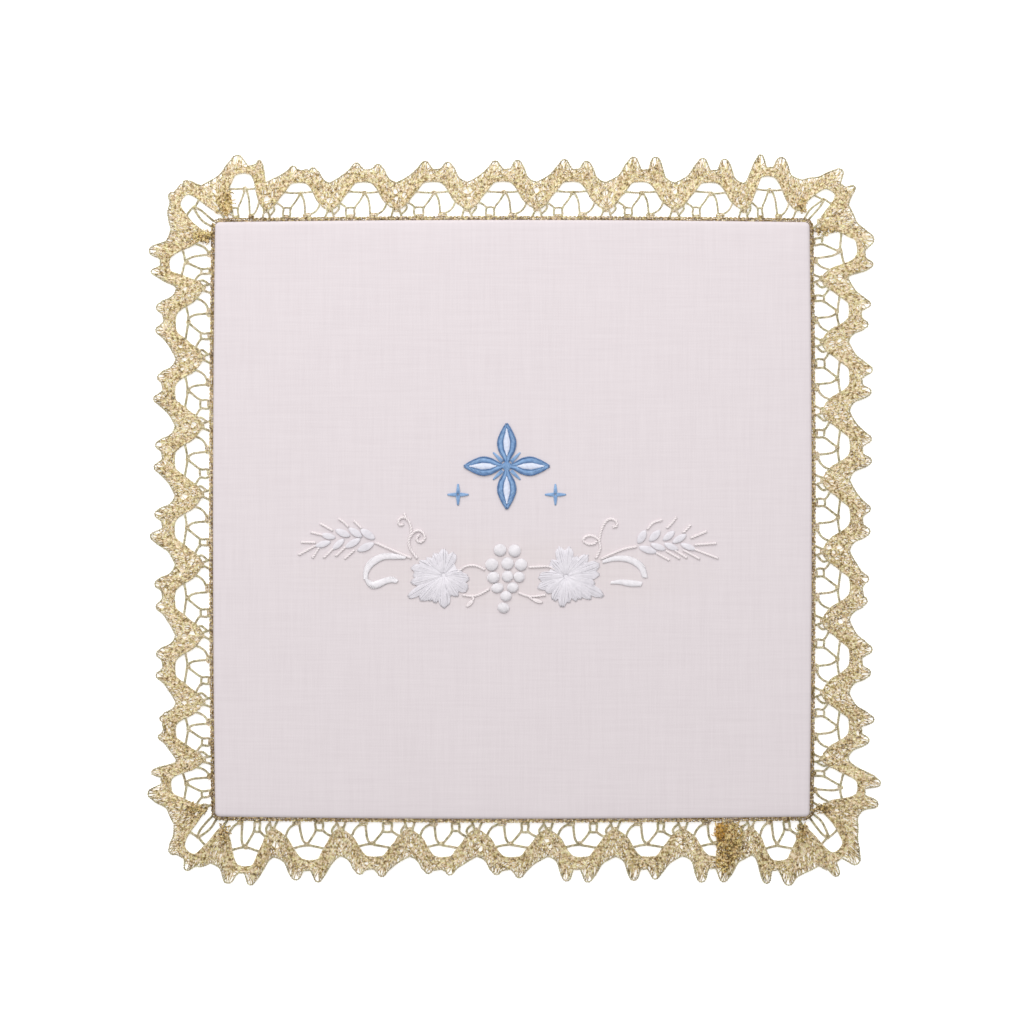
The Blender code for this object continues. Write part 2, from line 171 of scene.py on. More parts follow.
def plainWeaveGroup():  # over and under threads of a plain weave, with slubs both ways
    group, nodes, links, start, end = newGroup(
        "plainWeave",
        [("Threads", "NodeSocketFloat", 2100.0), ("Slub Scale", "NodeSocketFloat", 60.0)],
        [("Height", "NodeSocketFloat"), ("Slubs", "NodeSocketFloat")],
    )
    place = nodes.new("ShaderNodeTexCoord").outputs["Object"]
    wander = nodes.new("ShaderNodeTexNoise")
    wander.inputs["Scale"].default_value = 140.0
    links.new(place, wander.inputs["Vector"])
    shift = nodes.new("ShaderNodeVectorMath")
    shift.operation = "MULTIPLY_ADD"
    shift.inputs[1].default_value = (0.0009, 0.0009, 0.0)
    links.new(wander.outputs["Color"], shift.inputs[0])
    links.new(place, shift.inputs[2])
    split = nodes.new("ShaderNodeSeparateXYZ")
    links.new(shift.outputs[0], split.inputs[0])
    rows = []
    for axis in ("X", "Y"):
        turns = mathNode(nodes, links, "MULTIPLY", split.outputs[axis], start.outputs["Threads"])
        angle = mathNode(nodes, links, "MULTIPLY", turns, math.pi)
        rows.append((mathNode(nodes, links, "SINE", angle), mathNode(nodes, links, "COSINE", angle)))
    (sineX, cosineX), (sineY, cosineY) = rows
    over = mathNode(nodes, links, "GREATER_THAN", mathNode(nodes, links, "MULTIPLY", sineX, sineY), 0.0)
    warp = mathNode(nodes, links, "ABSOLUTE", sineX)
    weft = mathNode(nodes, links, "ABSOLUTE", sineY)
    under = mathNode(nodes, links, "SUBTRACT", 1.0, over)
    height = mathNode(
        nodes, links, "ADD",
        mathNode(nodes, links, "MULTIPLY", warp, over),
        mathNode(nodes, links, "MULTIPLY", weft, under),
    )
    slubs = None
    for stretch in ((1, 26, 1), (26, 1, 1)):
        mapping = nodes.new("ShaderNodeMapping")
        mapping.inputs["Scale"].default_value = stretch
        links.new(place, mapping.inputs["Vector"])
        streak = noiseNode(nodes, links, mapping.outputs[0], start.outputs["Slub Scale"], 4.0, 0.65)
        slubs = streak if slubs is None else mathNode(nodes, links, "ADD", slubs, streak)
    links.new(height, end.inputs["Height"])
    links.new(mathNode(nodes, links, "MULTIPLY", slubs, 0.5), end.inputs["Slubs"])
    return group


threadGrain = threadGrainGroup()
plainWeave = plainWeaveGroup()


# ---- materials
def newMaterial(name, roughness, metallic=0.0, sheen=0.0):
    material = bpy.data.materials.new(name)
    material.use_nodes = True
    shader = material.node_tree.nodes["Principled BSDF"]
    shader.inputs["Roughness"].default_value = roughness
    shader.inputs["Metallic"].default_value = metallic
    shader.inputs["Sheen Weight"].default_value = sheen
    return material, material.node_tree.nodes, material.node_tree.links, shader


def rampNode(nodes, links, value, stops):
    ramp = nodes.new("ShaderNodeValToRGB")
    while len(ramp.color_ramp.elements) < len(stops):
        ramp.color_ramp.elements.new(0.5)
    for element, (place, colour) in zip(ramp.color_ramp.elements, stops):
        element.position = place
        element.color = (*colour, 1)
    links.new(value, ramp.inputs["Fac"])
    return ramp.outputs["Color"]


def mixColour(nodes, links, share, first, second, blend="MIX"):
    mix = nodes.new("ShaderNodeMix")
    mix.data_type = "RGBA"
    mix.blend_type = blend
    for socket, value in ((mix.inputs[0], share), (mix.inputs[6], first), (mix.inputs[7], second)):
        if isinstance(value, (int, float)):
            socket.default_value = value
        elif isinstance(value, tuple):
            socket.default_value = (*value, 1)
        else:
            links.new(value, socket)
    return mix.outputs[2]


def bumpNode(nodes, links, height, strength, distance, shader):
    bump = nodes.new("ShaderNodeBump")
    bump.inputs["Strength"].default_value = strength
    bump.inputs["Distance"].default_value = distance * mm
    links.new(height, bump.inputs["Height"])
    links.new(bump.outputs[0], shader.inputs["Normal"])


linenLook = {
    "colour": (0.668, 0.607, 0.627),
    "slubLight": (0.688, 0.627, 0.647),
    "slubDark": (0.646, 0.585, 0.605),
    "threadsPerMetre": 2380.0,
    "relief": 0.02,
    "sprayTint": (0.985, 0.98, 0.962),  # a faint yellower, slightly darker tint round the spray, then its middle and half sizes
    "sprayTintPlace": (-1.8, -14.6, 46.0, 9.5),
}


def linenMaterial():
    material, nodes, links, shader = newMaterial("fineLinen", 0.9, sheen=0.15)
    weave = nodes.new("ShaderNodeGroup")
    weave.node_tree = plainWeave
    weave.inputs["Threads"].default_value = linenLook["threadsPerMetre"]
    stops = [(0.36, linenLook["slubDark"]), (0.5, linenLook["colour"]), (0.64, linenLook["slubLight"])]
    slubbed = rampNode(nodes, links, weave.outputs["Slubs"], stops)
    # painted shade: the weave's low places a little darker
    shaded = mixColour(nodes, links, 0.025, slubbed, weave.outputs["Height"], "MULTIPLY")
    x, y, halfX, halfY = linenLook["sprayTintPlace"]
    around = nodes.new("ShaderNodeMapping")
    around.vector_type = "TEXTURE"
    around.inputs["Location"].default_value = (x * mm, y * mm, 0)
    around.inputs["Scale"].default_value = (halfX * mm, halfY * mm, 1)
    links.new(nodes.new("ShaderNodeTexCoord").outputs["Object"], around.inputs["Vector"])
    away = nodes.new("ShaderNodeVectorMath")
    away.operation = "LENGTH"
    links.new(around.outputs[0], away.inputs[0])
    inward = mathNode(nodes, links, "SUBTRACT", 1.3, away.outputs["Value"])
    share = mathNode(nodes, links, "MAXIMUM", mathNode(nodes, links, "MULTIPLY", inward, 1.4), 0.0)
    share = mathNode(nodes, links, "MINIMUM", share, 1.0)
    sprayTinted = mixColour(nodes, links, share, shaded, mixColour(nodes, links, 1.0, shaded, linenLook["sprayTint"], "MULTIPLY"))
    links.new(sprayTinted, shader.inputs["Base Color"])
    height = mathNode(nodes, links, "ADD", weave.outputs["Height"], weave.outputs["Slubs"])
    bumpNode(nodes, links, height, 0.5, linenLook["relief"], shader)
    return material


# In each look below, the brightest colour is a painted highlight, mixed in as glints.
goldLook = {
    "deep": (0.125, 0.068, 0.014),
    "shade": (0.36, 0.245, 0.085),
    "body": (0.635, 0.49, 0.272),
    "light": (0.87, 0.78, 0.57),
    "paintedGlint": (1.0, 0.965, 0.86),
    "grainScale": 1500.0,
    "unevenness": 3.0,
    "metal": 0.25,
    "olive": (0.94, 0.97, 0.78),
    "blush": (1.0, 0.94, 0.94),
}
plaitLook = {  # the net's thinner plaits look greyer
    "deep": (0.14, 0.11, 0.055),
    "shade": (0.29, 0.245, 0.14),
    "body": (0.47, 0.41, 0.265),
    "light": (0.68, 0.62, 0.46),
    "paintedGlint": (0.90, 0.86, 0.74),
    "grainScale": 1300.0,
    "unevenness": 1.8,
    "metal": 0.2,
    "olive": (0.95, 0.98, 0.86),
    "blush": (1.0, 0.95, 0.94),
}
crowdShadeLook = {  # darker, richer gold where the strip is gathered or lapped: painted shade of the crowded threads
    "deep": (0.085, 0.042, 0.006),
    "shade": (0.33, 0.205, 0.05),
    "body": (0.60, 0.43, 0.165),
    "light": (0.86, 0.72, 0.42),
    "paintedGlint": (1.0, 0.95, 0.78),
    "grainScale": 1500.0,
    "unevenness": 3.2,
    "metal": 0.25,
    "olive": (0.94, 0.97, 0.8),
    "blush": (1.0, 0.94, 0.92),
}
tuftLook = {  # worn ends at the join, where the yellow core shows
    "deep": (0.10, 0.035, 0.004),
    "shade": (0.34, 0.16, 0.018),
    "body": (0.62, 0.34, 0.055),
    "light": (0.85, 0.58, 0.16),
    "paintedGlint": (0.98, 0.84, 0.42),
    "grainScale": 1500.0,
    "unevenness": 2.2,
    "metal": 0.2,
    "olive": (0.95, 0.97, 0.85),
    "blush": (1.0, 0.95, 0.9),
}


def goldMaterial(name, look):
    material, nodes, links, shader = newMaterial(name, 0.42, metallic=look["metal"])
    grain = nodes.new("ShaderNodeGroup")
    grain.node_tree = threadGrain
    grain.inputs["Scale"].default_value = look["grainScale"]
    grain.inputs["Glint Share"].default_value = 0.56
    # the tone attribute painted on the lace: the thread's own uneven tone plus painted light and shade
    toneAndShade = nodes.new("ShaderNodeAttribute")
    toneAndShade.attribute_name = "toneAndShade"
    centred = mathNode(nodes, links, "SUBTRACT", grain.outputs["Mottle"], 0.5)
    uneven = mathNode(nodes, links, "MULTIPLY", centred, look["unevenness"])
    shade = mathNode(nodes, links, "ADD", toneAndShade.outputs["Fac"], uneven)
    stops = [(0.05, look["deep"]), (0.3, look["shade"]), (0.55, look["body"]), (0.85, look["light"])]
    colour = rampNode(nodes, links, shade, stops)
    tint = rampNode(nodes, links, grain.outputs["Drift"], [(0.4, look["olive"]), (0.6, look["blush"])])
    colour = mixColour(nodes, links, 1.0, colour, tint, "MULTIPLY")
    # painted highlight: bright glints mixed into the gold's colour, fewer where the tone is darker
    glintShare = mathNode(nodes, links, "MULTIPLY", grain.outputs["Painted Glints"], toneAndShade.outputs["Fac"])
    links.new(mixColour(nodes, links, glintShare, colour, look["paintedGlint"]), shader.inputs["Base Color"])
    bumpNode(nodes, links, grain.outputs["Height"], 0.5, 0.06, shader)
    return material


def cottonMaterial(name, dark, light, roughness):  # mercerised cotton, as satin stitches show it
    material, nodes, links, shader = newMaterial(name, roughness, sheen=0.2)
    grain = nodes.new("ShaderNodeGroup")
    grain.node_tree = threadGrain
    grain.inputs["Scale"].default_value = 900.0
    colour = rampNode(nodes, links, grain.outputs["Mottle"], [(0.3, dark), (0.7, light)])
    links.new(colour, shader.inputs["Base Color"])
    bumpNode(nodes, links, grain.outputs["Height"], 0.4, 0.05, shader)
    return material


linenCloth = linenMaterial()
goldThread = goldMaterial("goldThread", goldLook)
# painted shade: a darker, richer copy of the gold for the gathered and lapped places
crowdShadeThread = goldMaterial("crowdShadedGoldThread", crowdShadeLook)
plaitThread = goldMaterial("greyGoldPlait", plaitLook)
tuftThread = goldMaterial("orangeGoldEnds", tuftLook)
whiteThread = cottonMaterial("whiteCotton", (0.675, 0.648, 0.69), (0.745, 0.713, 0.755), 0.5)
# painted light: a lighter copy of the white cotton for the grapes and blades, against the shade their rounded forms
# take
litWhiteThread = cottonMaterial("litWhiteCotton", (0.785, 0.757, 0.785), (0.865, 0.835, 0.862), 0.55)
stemThread = cottonMaterial("creamStemCotton", (0.76, 0.695, 0.705), (0.82, 0.755, 0.765), 0.5)
blueThread = cottonMaterial("blueCotton", (0.15, 0.29, 0.53), (0.29, 0.46, 0.70), 0.45)
deepBlueThread = cottonMaterial("deepBlueCotton", (0.055, 0.135, 0.31), (0.125, 0.24, 0.45), 0.5)
inlayThread = cottonMaterial("blueWhiteCotton", (0.70, 0.74, 0.87), (0.78, 0.82, 0.93), 0.45)
sewingThread = cottonMaterial("tanSewingThread", (0.30, 0.21, 0.16), (0.46, 0.35, 0.28), 0.6)
print("materials ready")


# ---- threads: routes in millimetres become closed tubes in one mesh
def threadMesh(name, routes, radius, material, sides=4):
    curve = bpy.data.curves.new(name, "CURVE")
    curve.dimensions = "3D"
    curve.bevel_depth = radius * mm
    curve.bevel_resolution = (sides - 4) // 2
    curve.use_fill_caps = True
    for route in routes:
        spline = curve.splines.new("POLY")
        spline.points.add(len(route) - 1)
        placed = np.ones((len(route), 4))
        placed[:, :3] = np.asarray(route) * mm
        spline.points.foreach_set("co", placed.ravel())
        spline.use_smooth = True
    piece = bpy.data.objects.new(name, curve)
    bpy.context.collection.objects.link(piece)
    bpy.ops.object.select_all(action="DESELECT")
    bpy.context.view_layer.objects.active = piece
    piece.select_set(True)
    bpy.ops.object.convert(target="MESH")
    bpy.ops.object.mode_set(mode="EDIT")
    bpy.ops.mesh.select_all(action="SELECT")
    bpy.ops.mesh.remove_doubles(threshold=0.0005 * mm)
    bpy.ops.object.mode_set(mode="OBJECT")
    bpy.ops.object.shade_smooth()
    piece.data.materials.clear()
    piece.data.materials.append(material)
    return piece


def joinPieces(name, parts):
    bpy.ops.object.select_all(action="DESELECT")
    for part in parts:
        part.select_set(True)
    bpy.context.view_layer.objects.active = parts[0]
    if len(parts) > 1:
        bpy.ops.object.join()
    parts[0].name = name
    parts[0].data.name = name
    return parts[0]


def resample(route, step):
    route = np.asarray(route, float)
    gaps = np.linalg.norm(np.diff(route, axis=0), axis=1)
    walked = np.concatenate([[0], np.cumsum(gaps)])
    places = np.linspace(0, walked[-1], max(2, int(math.ceil(walked[-1] / step)) + 1))
    return np.stack([np.interp(places, walked, route[:, axis]) for axis in range(3)], axis=1)


def smoothRoute(points, step):  # a rounded line through given points
    points = np.asarray(points, float)
    if len(points) == 2:
        return resample(points, step)
    ends = np.vstack([2 * points[0] - points[1], points, 2 * points[-1] - points[-2]])
    fine = []
    for a, b, c, d in zip(ends, ends[1:], ends[2:], ends[3:]):
        for t in np.linspace(0, 1, 8, endpoint=False):
            fine.append(b + t * ((c - a) + t * ((2 * a - 5 * b + 4 * c - d) + t * (3 * b - a - 3 * c + d))) / 2)
    fine.append(points[-1])
    return resample(fine, step)


def routeFrame(middle):  # which way is aside and which is up, at each point of a route
    ahead = np.gradient(middle, axis=0)
    ahead /= np.maximum(np.linalg.norm(ahead, axis=1, keepdims=True), 1e-9)
    aside = np.stack([-ahead[:, 1], ahead[:, 0], np.zeros(len(ahead))], axis=1)
    aside /= np.maximum(np.linalg.norm(aside, axis=1, keepdims=True), 1e-9)
    return aside, np.cross(ahead, aside)


def flatPlait(route, halfWidth, radius, pitch, steps=6, phase=0.0):  # three strands plaited flat
    middle = resample(route, pitch / steps)
    aside, up = routeFrame(middle)
    strands = []
    for strand in range(3):
        angle = phase + 2 * math.pi * (np.arange(len(middle)) / steps + strand / 3)
        shift = (halfWidth - radius) * np.sin(angle)
        rise = 0.8 * radius * np.sin(2 * angle)
        strands.append(middle + shift[:, None] * aside + rise[:, None] * up)
    return strands


def twistedPair(route, swing, pitch, steps=5, phase=0.0):  # two strands wound round one route
    middle = resample(route, pitch / steps)
    aside, up = routeFrame(middle)
    angle = phase + 2 * math.pi * np.arange(len(middle)) / steps
    wind = swing * (np.cos(angle)[:, None] * aside + np.sin(angle)[:, None] * up)
    return [middle + wind, middle - wind]


# ---- the linen square
linenBox = {
    "sideBow": 0.6,
    "cornerRadius": 1.4,
    "edgeRadius": 1.1,
    "cut": 3.2,  # how far apart the cloth's mesh lines are
    "wave": 0.05,
    "softEdge": (6.0, 0.16),  # how wide and how deep the top rounds down before the fold
}
linenLow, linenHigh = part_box("linen_square")
halfSide = linenHigh[0] / mm - linenBox["sideBow"]
linenTop = linenHigh[2] / mm


def selectEdges(piece, wanted):
    bpy.ops.object.mode_set(mode="EDIT")
    bpy.ops.mesh.select_mode(type="EDGE")
    bpy.ops.mesh.select_all(action="DESELECT")
    bpy.ops.object.mode_set(mode="OBJECT")
    mesh = piece.data
    for edge in mesh.edges:
        edge.select = wanted(*(mesh.vertices[v].co / mm for v in edge.vertices))
    bpy.ops.object.mode_set(mode="EDIT")


def makeLinen():
    bpy.ops.object.select_all(action="DESELECT")
    size = (2 * halfSide * mm, 2 * halfSide * mm, linenTop * mm)
    bpy.ops.mesh.primitive_cube_add(size=1, location=(0, 0, linenTop * mm / 2), scale=size)
    linen = bpy.context.object
    linen.name = "linenSquare"
    bpy.ops.object.transform_apply(location=True, rotation=True, scale=True)
    selectEdges(linen, lambda a, b: abs(a.x - b.x) + abs(a.y - b.y) < 0.001)
    bpy.ops.mesh.bevel(offset=linenBox["cornerRadius"] * mm, segments=5, affect="EDGES")
    selectEdges(linen, lambda a, b: abs(a.z - b.z) < 0.001)
    bpy.ops.mesh.bevel(offset=linenBox["edgeRadius"] * mm, segments=6, affect="EDGES")
    count = int((halfSide - linenBox["edgeRadius"]) // linenBox["cut"])
    for normal in ((1, 0, 0), (0, 1, 0)):
        for line in range(-count, count + 1):
            bpy.ops.mesh.select_all(action="SELECT")
            place = [line * linenBox["cut"] * mm * part for part in normal]
            bpy.ops.mesh.bisect(plane_co=place, plane_no=normal)
    bpy.ops.object.mode_set(mode="OBJECT")

    mesh = linen.data
    points = np.zeros(len(mesh.vertices) * 3)
    mesh.vertices.foreach_get("co", points)
    x, y, z = (points / mm).reshape(-1, 3).T
    bowX = linenBox["sideBow"] * (x / halfSide) * (1 - np.minimum(1, (y / halfSide) ** 2))
    bowY = linenBox["sideBow"] * (y / halfSide) * (1 - np.minimum(1, (x / halfSide) ** 2))
    wave = np.sin(x / 17 + 1.3 * np.sin(y / 23)) * np.cos(y / 19) + 0.5 * np.sin(x / 7.3) * np.sin(y / 8.1 + 1)
    inner = np.clip((halfSide - np.maximum(np.abs(x), np.abs(y))) / 6, 0, 1)
    softWidth, softDepth = linenBox["softEdge"]
    ease = np.clip(1 - (halfSide - np.maximum(np.abs(x), np.abs(y))) / softWidth, 0, 1)
    z = z + (linenBox["wave"] * wave * inner - softDepth * ease ** 2) * (z > linenTop / 2)
    moved = np.stack([x + bowX, y + bowY, z], axis=1) * mm
    mesh.vertices.foreach_set("co", moved.ravel())
    mesh.update()
    bpy.ops.object.shade_smooth_by_angle(angle=math.radians(50))
    mesh.materials.append(linenCloth)
    print("linen made:", len(mesh.polygons), "faces")
    return linen


linen = makeLinen()
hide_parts("linen_square")


# ---- the lace's plan: the same scallops as its solid has
# Each row: where it starts along its side, lean in degrees, reach of its two points,
# valley, skew and swell, as the strip was sewn on by hand round the square.
laceRows = {
    "Top": [
        (-77.5, -31, 17.7, 16.1, 11.0, 4.3, 1.28),
        (-66.0, 0, 14.4, 13.9, 10.0, 0.5, 1.0),
        (-49.0, 0, 15.1, 14.7, 9.7, 0.0, 1.0),
        (-31.0, 0, 15.4, 15.1, 9.7, 0.0, 1.0),
        (-12.0, 0, 15.4, 15.6, 9.7, 0.0, 1.0),
        (6.5, 0, 15.8, 15.4, 9.7, 0.0, 1.0),
        (25.0, 0, 16.6, 16.6, 9.7, 0.0, 1.0),
        (43.5, 0, 16.4, 16.2, 9.7, 0.0, 1.0),
        (62.0, 0, 17.5, 16.9, 9.7, -2.5, 1.18),
        (76.0, 8, 16.8, 15.6, 10.9, 2.0, 1.05),
    ],
    "Right": [
        (-78.5, -29, 17.2, 16.5, 11.5, 2.4, 1.25),
        (-64.5, 0, 15.7, 15.0, 9.7, 0.0, 1.0),
        (-47.5, 0, 16.0, 15.6, 9.7, 0.0, 1.0),
        (-29.0, 0, 15.6, 15.6, 9.7, 0.0, 1.0),
        (-10.5, 0, 15.3, 15.2, 9.7, 0.0, 1.0),
        (8.5, 0, 14.9, 14.5, 9.7, 0.0, 1.0),
        (27.0, 0, 15.9, 15.5, 9.7, 0.0, 1.0),
        (46.5, 0, 16.5, 15.3, 9.7, 0.0, 1.0),
        (64.0, 0, 18.6, 18.2, 9.7, -0.5, 1.25),
        (76.5, 16, 18.3, 17.8, 12.8, 2.2, 1.2),
    ],
    "Bottom": [
        (-77.5, -19, 18.2, 17.4, 13.6, 1.5, 1.15),
        (-64.0, 0, 16.8, 16.8, 9.7, 0.0, 1.0),
        (-45.5, 0, 15.9, 16.2, 9.7, 0.0, 1.0),
        (-27.5, 0, 16.6, 16.3, 9.7, 0.0, 1.0),
        (-9.5, 0, 15.4, 14.6, 9.7, 0.0, 1.0),
        (9.5, 0, 14.7, 14.3, 9.7, 0.0, 1.0),
        (27.5, 0, 15.2, 14.6, 9.7, 0.0, 1.0),
        (46.0, 0, 16.8, 16.3, 9.7, -1.3, 1.1),
        (64.0, 0, 17.9, 17.8, 10.2, -1.4, 1.3),
        (77.0, 18, 16.6, 15.8, 12.6, -2.0, 1.2),
    ],
    "Left": [
        (-77.0, -23, 17.8, 16.5, 11.5, 2.5, 1.15),
        (-64.5, 0, 14.6, 14.1, 9.7, 0.0, 1.0),
        (-49.0, 0, 15.0, 14.9, 9.7, 0.0, 1.0),
        (-31.0, 0, 14.9, 15.2, 9.7, 0.0, 1.0),
        (-12.0, 0, 16.4, 15.2, 9.7, 0.0, 1.0),
        (6.5, 0, 15.4, 15.0, 9.7, 0.0, 1.0),
        (25.0, 0, 15.6, 14.6, 9.7, 0.0, 1.0),
        (43.0, 0, 15.2, 15.1, 9.7, 0.0, 1.0),
        (62.0, 0, 16.6, 17.2, 9.7, -2.6, 1.18),
        (76.0, 8, 14.6, 14.2, 11.5, 2.0, 1.1),
    ],
}
sideNames = list(laceRows)
scallops = [row for rows in laceRows.values() for row in rows]
laceForm = {
    "repeat": 18.0,  # a nominal scallop, which is stretched to the room of each
    "valley": 9.7,
    "crown": 13.3,
    "crownSwell": 0.4,
    "gap": 0.3,
    "footHeight": 1.3,
    "rimHeight": 0.65,
    "slopeWidth": 12.0,
    "rippleMean": 0.25,
    "ripples": [(9, 0.15), (23, 0.1)],
    "underOver": 0.13,
    "plaitRadius": 0.15,
    "plaitHalf": {"Top": 0.32, "Right": 0.37, "Bottom": 0.4, "Left": 0.38},
    "plaitPitch": 1.6,
    "barSag": {"Top": 0.0, "Right": 0.35, "Bottom": 0.6, "Left": 0.5},
}
perimeter = 8 * halfSide


def edgePoint(along, offset):  # on the linen's outline, walked clockwise from its top left corner
    along = np.mod(along, perimeter)
    side = np.floor(along / (2 * halfSide))
    position = along - (2 * side + 1) * halfSide
    radius = linenBox["cornerRadius"]
    straight = halfSide - radius
    past = np.abs(position) - straight
    swing = math.pi / 4 * np.maximum(past, 0) / radius
    bowed = halfSide + linenBox["sideBow"] * (1 - (position / straight) ** 2) + offset
    x = np.where(past <= 0, position, np.sign(position) * (straight + (radius + offset) * np.sin(swing)))
    y = np.where(past <= 0, bowed, straight + (radius + offset) * np.cos(swing))
    turn = -math.pi / 2 * side
    return x * np.cos(turn) - y * np.sin(turn), x * np.sin(turn) + y * np.cos(turn)


def laceSpokes():
    spokes = []
    for side, rows in enumerate(laceRows.values()):
        for start, lean, *_ in rows:
            spokes.append(((2 * side + 1) * halfSide + start, 90 - 90 * side - lean))
    spokes.append((spokes[0][0] + perimeter, spokes[0][1] - 360))
    return spokes


spokes = laceSpokes()


def lacePoint(number, across, out):
    share = np.asarray(across) / laceForm["repeat"]
    (startAlong, startTurn), (endAlong, endTurn) = spokes[number], spokes[number + 1]
    direction = np.radians(startTurn + share * (endTurn - startTurn))
    x, y = edgePoint(startAlong + share * (endAlong - startAlong), laceForm["gap"])
    return x + out * np.cos(direction), y + out * np.sin(direction)


def laceHeight(x, y):
    over = np.hypot(np.maximum(0, np.abs(x) - halfSide), np.maximum(0, np.abs(y) - halfSide))
    slope = np.minimum(1, over / laceForm["slopeWidth"])
    slope = slope * slope * (3 - 2 * slope)
    turn = np.arctan2(y, x)
    waves = sum(height * np.sin(count * turn) for count, height in laceForm["ripples"])
    drop = laceForm["rimHeight"] + laceForm["rippleMean"] + waves - laceForm["footHeight"]
    return laceForm["footHeight"] + slope * drop


def layThread(number, across, out, rise):  # a nominal route, laid in its scallop's place
    x, y = lacePoint(number, across, out)
    return np.stack([x, y, laceHeight(x, y) + rise], axis=-1)


def smoothKnots(knots, u):
    knots = np.asarray(knots, float)
    t, points = knots[:, 0], knots[:, 1:]
    slope = np.gradient(points, t, axis=0)
    i = np.clip(np.searchsorted(t, u, side="right") - 1, 0, len(t) - 2)
    h = (t[i + 1] - t[i])[:, None]
    s = (u - t[i])[:, None] / h
    start = (1 + 2 * s) * (1 - s) ** 2 * points[i] + s * (1 - s) ** 2 * h * slope[i]
    return start + s * s * (3 - 2 * s) * points[i + 1] + s * s * (s - 1) * h * slope[i + 1]


# The trail's inner edge round the net, as share of the scallop, across and out.
innerKnots = [
    (0.00, 0.0, 2.5), (0.07, 1.25, 2.9), (0.15, 2.7, 4.2), (0.23, 3.6, 5.6), (0.32, 4.9, 7.2),
    (0.39, 5.7, 8.3), (0.44, 6.7, 9.6), (0.51, 8.5, 10.0), (0.58, 10.0, 10.0), (0.64, 11.3, 9.7),
    (0.70, 12.5, 8.5), (0.77, 13.5, 6.8), (0.85, 14.6, 4.9), (0.93, 16.5, 3.3), (1.00, 18.0, 2.5),
]


def outerKnots(number):  # the scalloped edge with its two points
    start, lean, first, second, valley, skew, swell = scallops[number]
    nextValley = scallops[(number + 1) % len(scallops)][4]
    crown = laceForm["crown"] * (1 + laceForm["crownSwell"] * (swell - 1)) - 0.1
    return [
        (0.00, 0.0, valley), (0.08, 1.8, valley + 0.95), (0.16, 3.5, max(crown - 1.45, valley + 1.7)),
        (0.25, 5.2, max(first - 2.0, crown - 0.4)), (0.32, 6.15, first - 0.85), (0.345, 6.62, first - 0.2),
        (0.365, 7.25, first), (0.385, 7.88, first - 0.2), (0.41, 8.3, first - 0.95),
        (0.45, 8.7, (first + crown) / 2 - 0.35), (0.50, 9.3, crown), (0.56, 10.3, crown + 0.05),
        (0.61, 11.3, crown + 0.25), (0.645, 11.9, second - 0.9), (0.67, 12.37, second - 0.2), (0.69, 13.0, second),
        (0.71, 13.63, second - 0.2), (0.735, 14.1, second - 0.9), (0.765, 14.6, (second + crown) / 2 - 0.6),
        (0.82, 15.3, max(crown - 1.5, nextValley + 1.6)), (0.90, 16.4, nextValley + 0.7), (1.00, 18.0, nextValley),
    ]


def swellOut(number, across, out):  # taller scallops carry their net further out
    own = scallops[number][6]
    before = scallops[number - 1][6]
    after = scallops[(number + 1) % len(scallops)][6]
    share = np.asarray(across) / laceForm["repeat"]
    ends = np.where(share < 0.5, (own + before) / 2, (own + after) / 2)
    blend = np.clip(np.abs(2 * share - 1), 0, 1) ** 3
    swell = own + (ends - own) * blend
    return out * (1 + (swell - 1) * np.clip(out, 0, None) / laceForm["valley"])


def skewAcross(number, across, out):
    share = np.clip(np.asarray(across) / laceForm["repeat"], 0, 1)
    return across + scallops[number][5] * 4 * share * (1 - share) * np.clip(out / laceForm["crown"], 0, 1)


# Pinholes that the maker's pins leave between two arms of the trail: middle and half sizes.
pinholes = [
    (-0.3, 7.2, 0.95, 0.65), (0.4, 5.2, 0.95, 0.65), (-1.2, 4.0, 0.6, 0.5), (1.8, 6.5, 0.6, 0.5),
    (-2.1, 6.0, 0.5, 0.4), (1.3, 3.9, 0.55, 0.45), (-2.5, 8.0, 0.5, 0.4), (2.6, 8.2, 0.5, 0.4), (0.4, 8.7, 0.4, 0.3),
]
holeGrowth = {"Top": 1.0, "Right": 0.95, "Bottom": 0.85, "Left": 0.95}


def scallopPinholes(number):  # in the scallop's own plan, those at both of its ends
    holes = []
    for side, valleyNumber in ((0.0, number), (laceForm["repeat"], (number + 1) % len(scallops))):
        luck = random.Random(100 + valleyNumber)
        for across, out, halfAcross, halfOut in pinholes:
            grow = luck.uniform(0.7, 1.25) * holeGrowth[sideNames[number // 10]]
            middle = (side + across + luck.uniform(-0.4, 0.4), out + luck.uniform(-0.4, 0.4))
            holes.append((*middle, halfAcross * grow, halfOut * grow))
    luck = random.Random(300 + number)
    first, second = scallops[number][2:4]
    for across, out in ((7.3, first - 1.5), (13.0, second - 1.5), (9.0, first - 2.9), (11.2, second - 2.8), (5.6, first - 3.5)):
        out += luck.uniform(-0.3, 0.3)
        middle = skewAcross(number, across + luck.uniform(-0.4, 0.4), out)
        grow = luck.uniform(0.7, 1.2)
        holes.append((middle, out, 0.42 * grow, 0.36 * grow))
    return holes


def openPinholes(holes, across, out):
    for middleAcross, middleOut, halfAcross, halfOut in holes:
        dx = (across - middleAcross) / halfAcross
        dy = (out - middleOut) / halfOut
        away = np.maximum(np.hypot(dx, dy), 0.05)
        pushed = np.where(away < 2.0, 1 + away / 2.0, away)
        across = middleAcross + dx / away * pushed * halfAcross
        out = middleOut + dy / away * pushed * halfOut
    return across, out


braid = {
    "threads": 12,  # woven slantwise, each over one and under one of those that run back
    "turns": 3.6,  # how often a thread crosses the trail and comes back, in one scallop
    "radius": 0.165,
    "rise": 0.13,
    "looseness": 0.10,
    "bodyShare": 0.82,  # past this share of the width a thread leaves for the points
    "staying": 4,  # one in so many threads never goes into the points
    "passives": [0.10, 0.36, 0.62, 0.87],  # where the straight threads run, as share of the width
    "passiveStep": 0.022,
}


